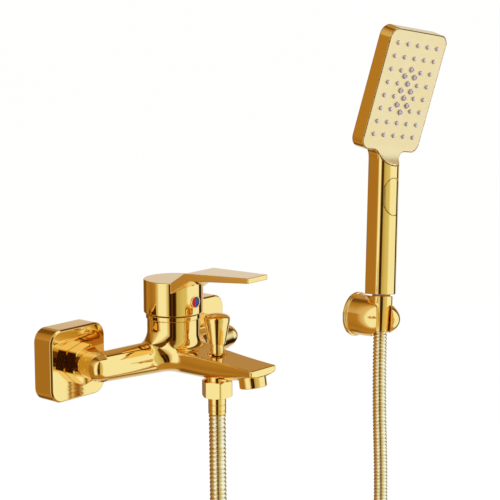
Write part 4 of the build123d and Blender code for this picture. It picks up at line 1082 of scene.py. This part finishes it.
def polish_group():
    """Wiping marks: long streaks of noise that lift the roughness a little, and a colour that deepens in places."""
    group, start, end = new_group(
        "polish_marks",
        [("Colour", "NodeSocketColor", (1, 1, 1, 1)), ("Deep colour", "NodeSocketColor", (1, 1, 1, 1)),
         ("Roughness", "NodeSocketFloat", 0.05), ("Marks", "NodeSocketFloat", 0.05)],
        [("Colour", "NodeSocketColor"), ("Roughness", "NodeSocketFloat")])
    place = add_node(group, "ShaderNodeTexCoord")
    stretch = add_node(group, "ShaderNodeMapping")
    stretch.inputs["Scale"].default_value = (90.0, 90.0, 900.0)
    group.links.new(place.outputs["Object"], stretch.inputs["Vector"])
    streaks = add_node(group, "ShaderNodeTexNoise", Scale=1.0, Detail=4.0, Roughness=0.6)
    group.links.new(stretch.outputs[0], streaks.inputs["Vector"])
    clouds = add_node(group, "ShaderNodeTexNoise", Scale=28.0, Detail=2.0)
    group.links.new(place.outputs["Object"], clouds.inputs["Vector"])
    added = add_node(group, "ShaderNodeMath", operation="MULTIPLY_ADD")
    group.links.new(streaks.outputs["Fac"], added.inputs[0])
    group.links.new(start["Marks"], added.inputs[1])
    group.links.new(start["Roughness"], added.inputs[2])
    group.links.new(added.outputs[0], end["Roughness"])
    colour = add_node(group, "ShaderNodeMix", data_type="RGBA")
    group.links.new(clouds.outputs["Fac"], colour.inputs[0])
    group.links.new(start["Colour"], colour.inputs[6])
    group.links.new(start["Deep colour"], colour.inputs[7])
    group.links.new(colour.outputs[2], end["Colour"])
    return group


def waviness_group():
    """Slow waves of the casting below the plating, as a height."""
    group, start, end = new_group("casting_waves", [("Scale", "NodeSocketFloat", 40.0)],
                                  [("Height", "NodeSocketFloat")])
    place = add_node(group, "ShaderNodeTexCoord")
    waves = add_node(group, "ShaderNodeTexNoise", Detail=1.0, Roughness=0.4)
    group.links.new(place.outputs["Object"], waves.inputs["Vector"])
    group.links.new(start["Scale"], waves.inputs["Scale"])
    group.links.new(waves.outputs["Fac"], end["Height"])
    return group


def grain_group():
    """Fine grain of a moulding: noise that moves the colour between two tones and gives a height."""
    group, start, end = new_group(
        "moulded_grain",
        [("Dark tone", "NodeSocketColor", (1, 1, 1, 1)), ("Light tone", "NodeSocketColor", (1, 1, 1, 1)),
         ("Scale", "NodeSocketFloat", 400.0)],
        [("Colour", "NodeSocketColor"), ("Height", "NodeSocketFloat")])
    place = add_node(group, "ShaderNodeTexCoord")
    noise = add_node(group, "ShaderNodeTexNoise", Detail=3.0)
    group.links.new(place.outputs["Object"], noise.inputs["Vector"])
    group.links.new(start["Scale"], noise.inputs["Scale"])
    tint = add_node(group, "ShaderNodeMix", data_type="RGBA")
    group.links.new(noise.outputs["Fac"], tint.inputs[0])
    group.links.new(start["Dark tone"], tint.inputs[6])
    group.links.new(start["Light tone"], tint.inputs[7])
    group.links.new(tint.outputs[2], end["Colour"])
    group.links.new(noise.outputs["Fac"], end["Height"])
    return group


polish_marks, casting_waves, moulded_grain = polish_group(), waviness_group(), grain_group()
print("shader groups:", polish_marks.name, casting_waves.name, moulded_grain.name)

# %% [markdown]
# Gold plating covers brass, zinc and plastic alike, and differs only in how well the
# surface below is polished. The face is blasted to a satin gold, and the hose is a
# paler steel with a gold tint. One material with switches could hold them all, but
# then nobody could change one finish alone. So each is a material of its own, and the
# groups get each finish's own values.

# %% Finishes
gold = (0.95, 0.66, 0.25, 1)
deep_gold = (0.92, 0.60, 0.20, 1)
pale_gold = (0.96, 0.71, 0.40, 1)


def metal(name, colour, deep, roughness, marks, wave_scale=40.0, wave_height=0.0):
    """A metal with wiping marks in its roughness and, where it is cast, slow waves in its surface."""
    material = bpy.data.materials.new(name)
    material.use_nodes = True
    tree = material.node_tree
    shader = tree.nodes["Principled BSDF"]
    shader.inputs["Metallic"].default_value = 1.0
    polish = add_node(tree, "ShaderNodeGroup", node_tree=polish_marks)
    polish.inputs["Colour"].default_value = colour
    polish.inputs["Deep colour"].default_value = deep
    polish.inputs["Roughness"].default_value = roughness
    polish.inputs["Marks"].default_value = marks
    tree.links.new(polish.outputs["Colour"], shader.inputs["Base Color"])
    tree.links.new(polish.outputs["Roughness"], shader.inputs["Roughness"])
    if wave_height:
        waves = add_node(tree, "ShaderNodeGroup", node_tree=casting_waves)
        waves.inputs["Scale"].default_value = wave_scale
        bump = add_node(tree, "ShaderNodeBump", Strength=0.5, Distance=wave_height)
        tree.links.new(waves.outputs["Height"], bump.inputs["Height"])
        tree.links.new(bump.outputs[0], shader.inputs["Normal"])
    return material

# %% [markdown]
# The other materials are moulded or fired: matt or softly shining, with a fine grain. A
# plain colour would look like paint, so the grain group varies the tone a little and
# gives a very low bump.

# %% Plastics, rubber and ceramic


def plain(name, colour, roughness, grain=400.0, depth=0.00005, gloss=0.5):
    """A moulded or fired material with a fine grain in its surface."""
    material = bpy.data.materials.new(name)
    material.use_nodes = True
    tree = material.node_tree
    shader = tree.nodes["Principled BSDF"]
    shader.inputs["Roughness"].default_value = roughness
    shader.inputs["Specular IOR Level"].default_value = gloss
    grains = add_node(tree, "ShaderNodeGroup", node_tree=moulded_grain)
    grains.inputs["Dark tone"].default_value = (*[c * 0.92 for c in colour[:3]], 1)
    grains.inputs["Light tone"].default_value = (*[min(c * 1.05, 1) for c in colour[:3]], 1)
    grains.inputs["Scale"].default_value = grain
    tree.links.new(grains.outputs["Colour"], shader.inputs["Base Color"])
    bump = add_node(tree, "ShaderNodeBump", Strength=0.4, Distance=depth)
    tree.links.new(grains.outputs["Height"], bump.inputs["Height"])
    tree.links.new(bump.outputs[0], shader.inputs["Normal"])
    return material


polished_gold = metal("polished_gold", gold, deep_gold, 0.03, 0.05, wave_height=0.00004)
plated_plastic = metal("gold_plated_plastic", gold, deep_gold, 0.05, 0.08, wave_height=0.00003)
satin_gold = metal("satin_gold", pale_gold, (0.94, 0.66, 0.32, 1), 0.36, 0.12)
hose_gold = metal("hose_gold", (0.95, 0.80, 0.55, 1), (0.88, 0.70, 0.42, 1), 0.16, 0.15)
raw_brass = metal("raw_brass", (0.72, 0.50, 0.22, 1), (0.60, 0.40, 0.17, 1), 0.32, 0.2)
bright_steel = metal("bright_steel", (0.62, 0.61, 0.60, 1), (0.52, 0.51, 0.50, 1), 0.22, 0.2)
zinc = metal("zinc_casting", (0.55, 0.56, 0.57, 1), (0.48, 0.48, 0.49, 1), 0.4, 0.2)
grey_silicone = plain("grey_silicone", (0.58, 0.53, 0.55), 0.35)
# The black rubber finish also colours the thin rings at the nozzles, which are painted shade.
black_rubber = plain("black_rubber", (0.03, 0.03, 0.03), 0.6)
grey_plastic = plain("grey_plastic", (0.42, 0.42, 0.42), 0.4)
white_plastic = plain("white_plastic", (0.78, 0.78, 0.76), 0.4)
ceramic = plain("ceramic", (0.82, 0.80, 0.76), 0.15, grain=900.0, depth=0.00001)
red_plastic = plain("red_plastic", (0.60, 0.004, 0.012), 0.2, depth=0.00001, gloss=0.15)
blue_plastic = plain("blue_plastic", (0.03, 0.07, 0.27), 0.2, depth=0.00001, gloss=0.15)
finishes = {
    "gold_brass": polished_gold, "raw_brass": raw_brass, "gold_steel_hose": hose_gold, "steel": bright_steel,
    "zinc": zinc, "gold_plated_plastic": plated_plastic, "satin_gold": satin_gold,
    "grey_silicone": grey_silicone, "black_rubber": black_rubber, "grey_plastic": grey_plastic,
    "white_plastic": white_plastic, "ceramic": ceramic, "red_plastic": red_plastic, "blue_plastic": blue_plastic}
print(len(finishes), "finishes")

# %% [markdown]
# The record names a slot for each solid, and each new piece was given one when it was made.
# Assigning the materials in one place, by slot, keeps solids and new pieces alike.

# %% Putting the finishes on
for part in frame["record"]["subparts"]:
    materials = frame["nodes"][part["node"]].data.materials
    materials.clear()
    materials.append(finishes[part["material_slot"]])
for piece in bpy.context.scene.objects:
    if piece.type == "MESH" and "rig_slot" in piece and not piece.data.materials:
        piece.data.materials.append(finishes[piece["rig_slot"]])

# %% [markdown]
# Polished metal shows what stands round it: here bright panels with dark gaps between
# them and warm, dim surroundings. They could be real planes with lights, but those cast
# noise and get in the camera's way. So the world holds them as a panorama, a crisp one
# near the horizon and a softer, browner one above, and shows it to mirrored rays
# only. The camera sees plain white, and rough surfaces get a plain light.

# %% The studio round the object


def studio_world():
    """World with three parts: white for the camera, a panorama by direction for mirrored rays, plain light."""
    world = bpy.data.worlds.new("studio")
    bpy.context.scene.world = world
    world.use_nodes = True
    tree = world.node_tree
    tree.nodes.clear()
    place = add_node(tree, "ShaderNodeTexCoord")
    split = add_node(tree, "ShaderNodeSeparateXYZ")
    tree.links.new(place.outputs["Generated"], split.inputs[0])
    flip = add_node(tree, "ShaderNodeMath", operation="MULTIPLY")
    flip.inputs[1].default_value = -1.0
    tree.links.new(split.outputs["Y"], flip.inputs[0])
    angle = add_node(tree, "ShaderNodeMath", operation="ARCTAN2")
    tree.links.new(split.outputs["X"], angle.inputs[0])
    tree.links.new(flip.outputs[0], angle.inputs[1])
    turn = add_node(tree, "ShaderNodeMapRange")
    turn.inputs["From Min"].default_value, turn.inputs["From Max"].default_value = -np.pi, np.pi
    tree.links.new(angle.outputs[0], turn.inputs["Value"])

    def panorama(stops):
        """Colours round the horizon at (azimuth in degrees, colour)."""
        ramp = add_node(tree, "ShaderNodeValToRGB")
        ramp.color_ramp.interpolation = "EASE"
        elements = ramp.color_ramp.elements
        elements[0].position, elements[0].color = (stops[0][0] + 180) / 360, (*stops[0][1], 1)
        elements[1].position, elements[1].color = (stops[-1][0] + 180) / 360, (*stops[-1][1], 1)
        for azimuth, colour in stops[1:-1]:
            element = elements.new((azimuth + 180) / 360)
            element.color = (*colour, 1)
        tree.links.new(turn.outputs[0], ramp.inputs[0])
        return ramp.outputs[0]

    bright, soft, pale = (1.0, 1.22, 1.38), (0.75, 0.68, 0.45), (0.76, 0.76, 0.77)
    plateau, shine = (0.60, 0.56, 0.25), (0.72, 0.74, 0.44)
    mid, side, dim = (0.48, 0.28, 0.06), (0.40, 0.23, 0.05), (0.20, 0.10, 0.02)
    dark, brown, wood = (0.03, 0.012, 0.004), (0.14, 0.06, 0.012), (0.49, 0.33, 0.15)
    low = panorama([(-180, dim), (-168, mid), (-140, side), (-124, mid), (-111, soft), (-104, bright),
                    (-79, bright), (-68, soft), (-61, dark), (-56, dark), (-52, brown), (-48, dark), (-39, dark),
                    (-32, plateau), (-8, shine), (2, shine), (13, bright), (66, bright), (72, dark), (86, dark),
                    (94, soft), (122, pale), (144, pale), (158, dim), (180, dim)])
    high = panorama([(-180, dim), (-150, mid), (-112, soft), (-101, bright), (-79, bright), (-67, soft),
                     (-60, brown), (-40, brown), (-30, plateau), (-8, shine), (13, bright), (66, bright),
                     (73, brown), (86, brown), (96, mid), (122, wood), (145, wood), (160, dim), (180, dim)])
    by_height = add_node(tree, "ShaderNodeMix", data_type="RGBA")
    lift = add_node(tree, "ShaderNodeMapRange", interpolation_type="SMOOTHSTEP")
    lift.inputs["From Min"].default_value, lift.inputs["From Max"].default_value = 0.17, 0.29
    tree.links.new(split.outputs["Z"], lift.inputs["Value"])
    tree.links.new(lift.outputs[0], by_height.inputs[0])
    tree.links.new(low, by_height.inputs[6])
    tree.links.new(high, by_height.inputs[7])
    below = add_node(tree, "ShaderNodeMix", data_type="RGBA")
    sink = add_node(tree, "ShaderNodeMapRange", interpolation_type="SMOOTHSTEP")
    sink.inputs["From Min"].default_value, sink.inputs["From Max"].default_value = -0.72, -0.93
    tree.links.new(split.outputs["Z"], sink.inputs["Value"])
    tree.links.new(sink.outputs[0], below.inputs[0])
    tree.links.new(by_height.outputs[2], below.inputs[6])
    below.inputs[7].default_value = (*mid, 1)

    mirror = add_node(tree, "ShaderNodeBackground")
    tree.links.new(below.outputs[2], mirror.inputs["Color"])
    plain_light = add_node(tree, "ShaderNodeBackground", Color=(1, 0.97, 0.92, 1), Strength=0.75)
    white = add_node(tree, "ShaderNodeBackground", Color=(1, 1, 1, 1), Strength=1.0)
    rays = add_node(tree, "ShaderNodeLightPath")
    shiny = add_node(tree, "ShaderNodeMath", operation="MAXIMUM")
    tree.links.new(rays.outputs["Is Glossy Ray"], shiny.inputs[0])
    tree.links.new(rays.outputs["Is Transmission Ray"], shiny.inputs[1])
    first = add_node(tree, "ShaderNodeMixShader")
    tree.links.new(shiny.outputs[0], first.inputs[0])
    tree.links.new(plain_light.outputs[0], first.inputs[1])
    tree.links.new(mirror.outputs[0], first.inputs[2])
    second = add_node(tree, "ShaderNodeMixShader")
    tree.links.new(rays.outputs["Is Camera Ray"], second.inputs[0])
    tree.links.new(first.outputs[0], second.inputs[1])
    tree.links.new(white.outputs[0], second.inputs[2])
    out = add_node(tree, "ShaderNodeOutputWorld")
    tree.links.new(second.outputs[0], out.inputs[0])


studio_world()

# %% [markdown]
# One large soft lamp above and one to the right give the rubber and plastic pieces some
# form. Mirrored rays don't see the lamps, because the panorama already holds the
# panels. The floor lies just below the hose's loop. It is pale; the camera sees it
# almost white, and it keeps the object's faint shadow.

# %% Lamps and floor


def soft_lamp(name, place, target, size, power):
    """A square area lamp that points at a target."""
    data = bpy.data.lights.new(name, "AREA")
    data.size, data.energy = size, power
    lamp = bpy.data.objects.new(name, data)
    lamp.location = place
    lamp.rotation_mode = "QUATERNION"
    lamp.rotation_quaternion = (Vector(target) - Vector(place)).to_track_quat("-Z", "Y")
    bpy.context.scene.collection.objects.link(lamp)
    lamp.visible_glossy = False
    return lamp


soft_lamp("overhead_panel", (0.1, -0.6, 1.5), (0.15, -0.05, 0.0), 1.2, 14.0)
soft_lamp("right_panel", (1.6, -1.0, 0.7), (0.25, -0.05, 0.1), 0.9, 16.0)

floor_low = solid_low[2] - 0.002


def studio_floor():
    """A wide square plane. Its material is white to the camera and pale to other rays, and takes the shadow."""
    mesh = bpy.data.meshes.new("studio_floor")
    half, camera_white = 60.0, 0.86
    mesh.from_pydata([(-half, -half, floor_low), (half, -half, floor_low), (half, half, floor_low),
                      (-half, half, floor_low)], [], [(0, 1, 2, 3)])
    floor = bpy.data.objects.new("studio_floor", mesh)
    bpy.context.scene.collection.objects.link(floor)
    material = bpy.data.materials.new("pale_floor")
    material.use_nodes = True
    tree = material.node_tree
    shader = tree.nodes["Principled BSDF"]
    shader.inputs["Base Color"].default_value = (0.9, 0.9, 0.9, 1)
    shader.inputs["Roughness"].default_value = 0.9
    shader.inputs["Specular IOR Level"].default_value = 0.0
    glow = add_node(tree, "ShaderNodeEmission", Color=(1, 1, 1, 1), Strength=1.05)
    mix = add_node(tree, "ShaderNodeMixShader")
    rays = add_node(tree, "ShaderNodeLightPath")
    share = add_node(tree, "ShaderNodeMath", operation="MULTIPLY")
    share.inputs[1].default_value = camera_white
    tree.links.new(rays.outputs["Is Camera Ray"], share.inputs[0])
    tree.links.new(share.outputs[0], mix.inputs[0])
    tree.links.new(shader.outputs[0], mix.inputs[1])
    tree.links.new(glow.outputs[0], mix.inputs[2])
    tree.links.new(mix.outputs[0], tree.nodes["Material Output"].inputs["Surface"])
    mesh.materials.append(material)
    floor.visible_glossy = False
    return floor


studio_floor()
bpy.context.scene.view_settings.view_transform = "Standard"
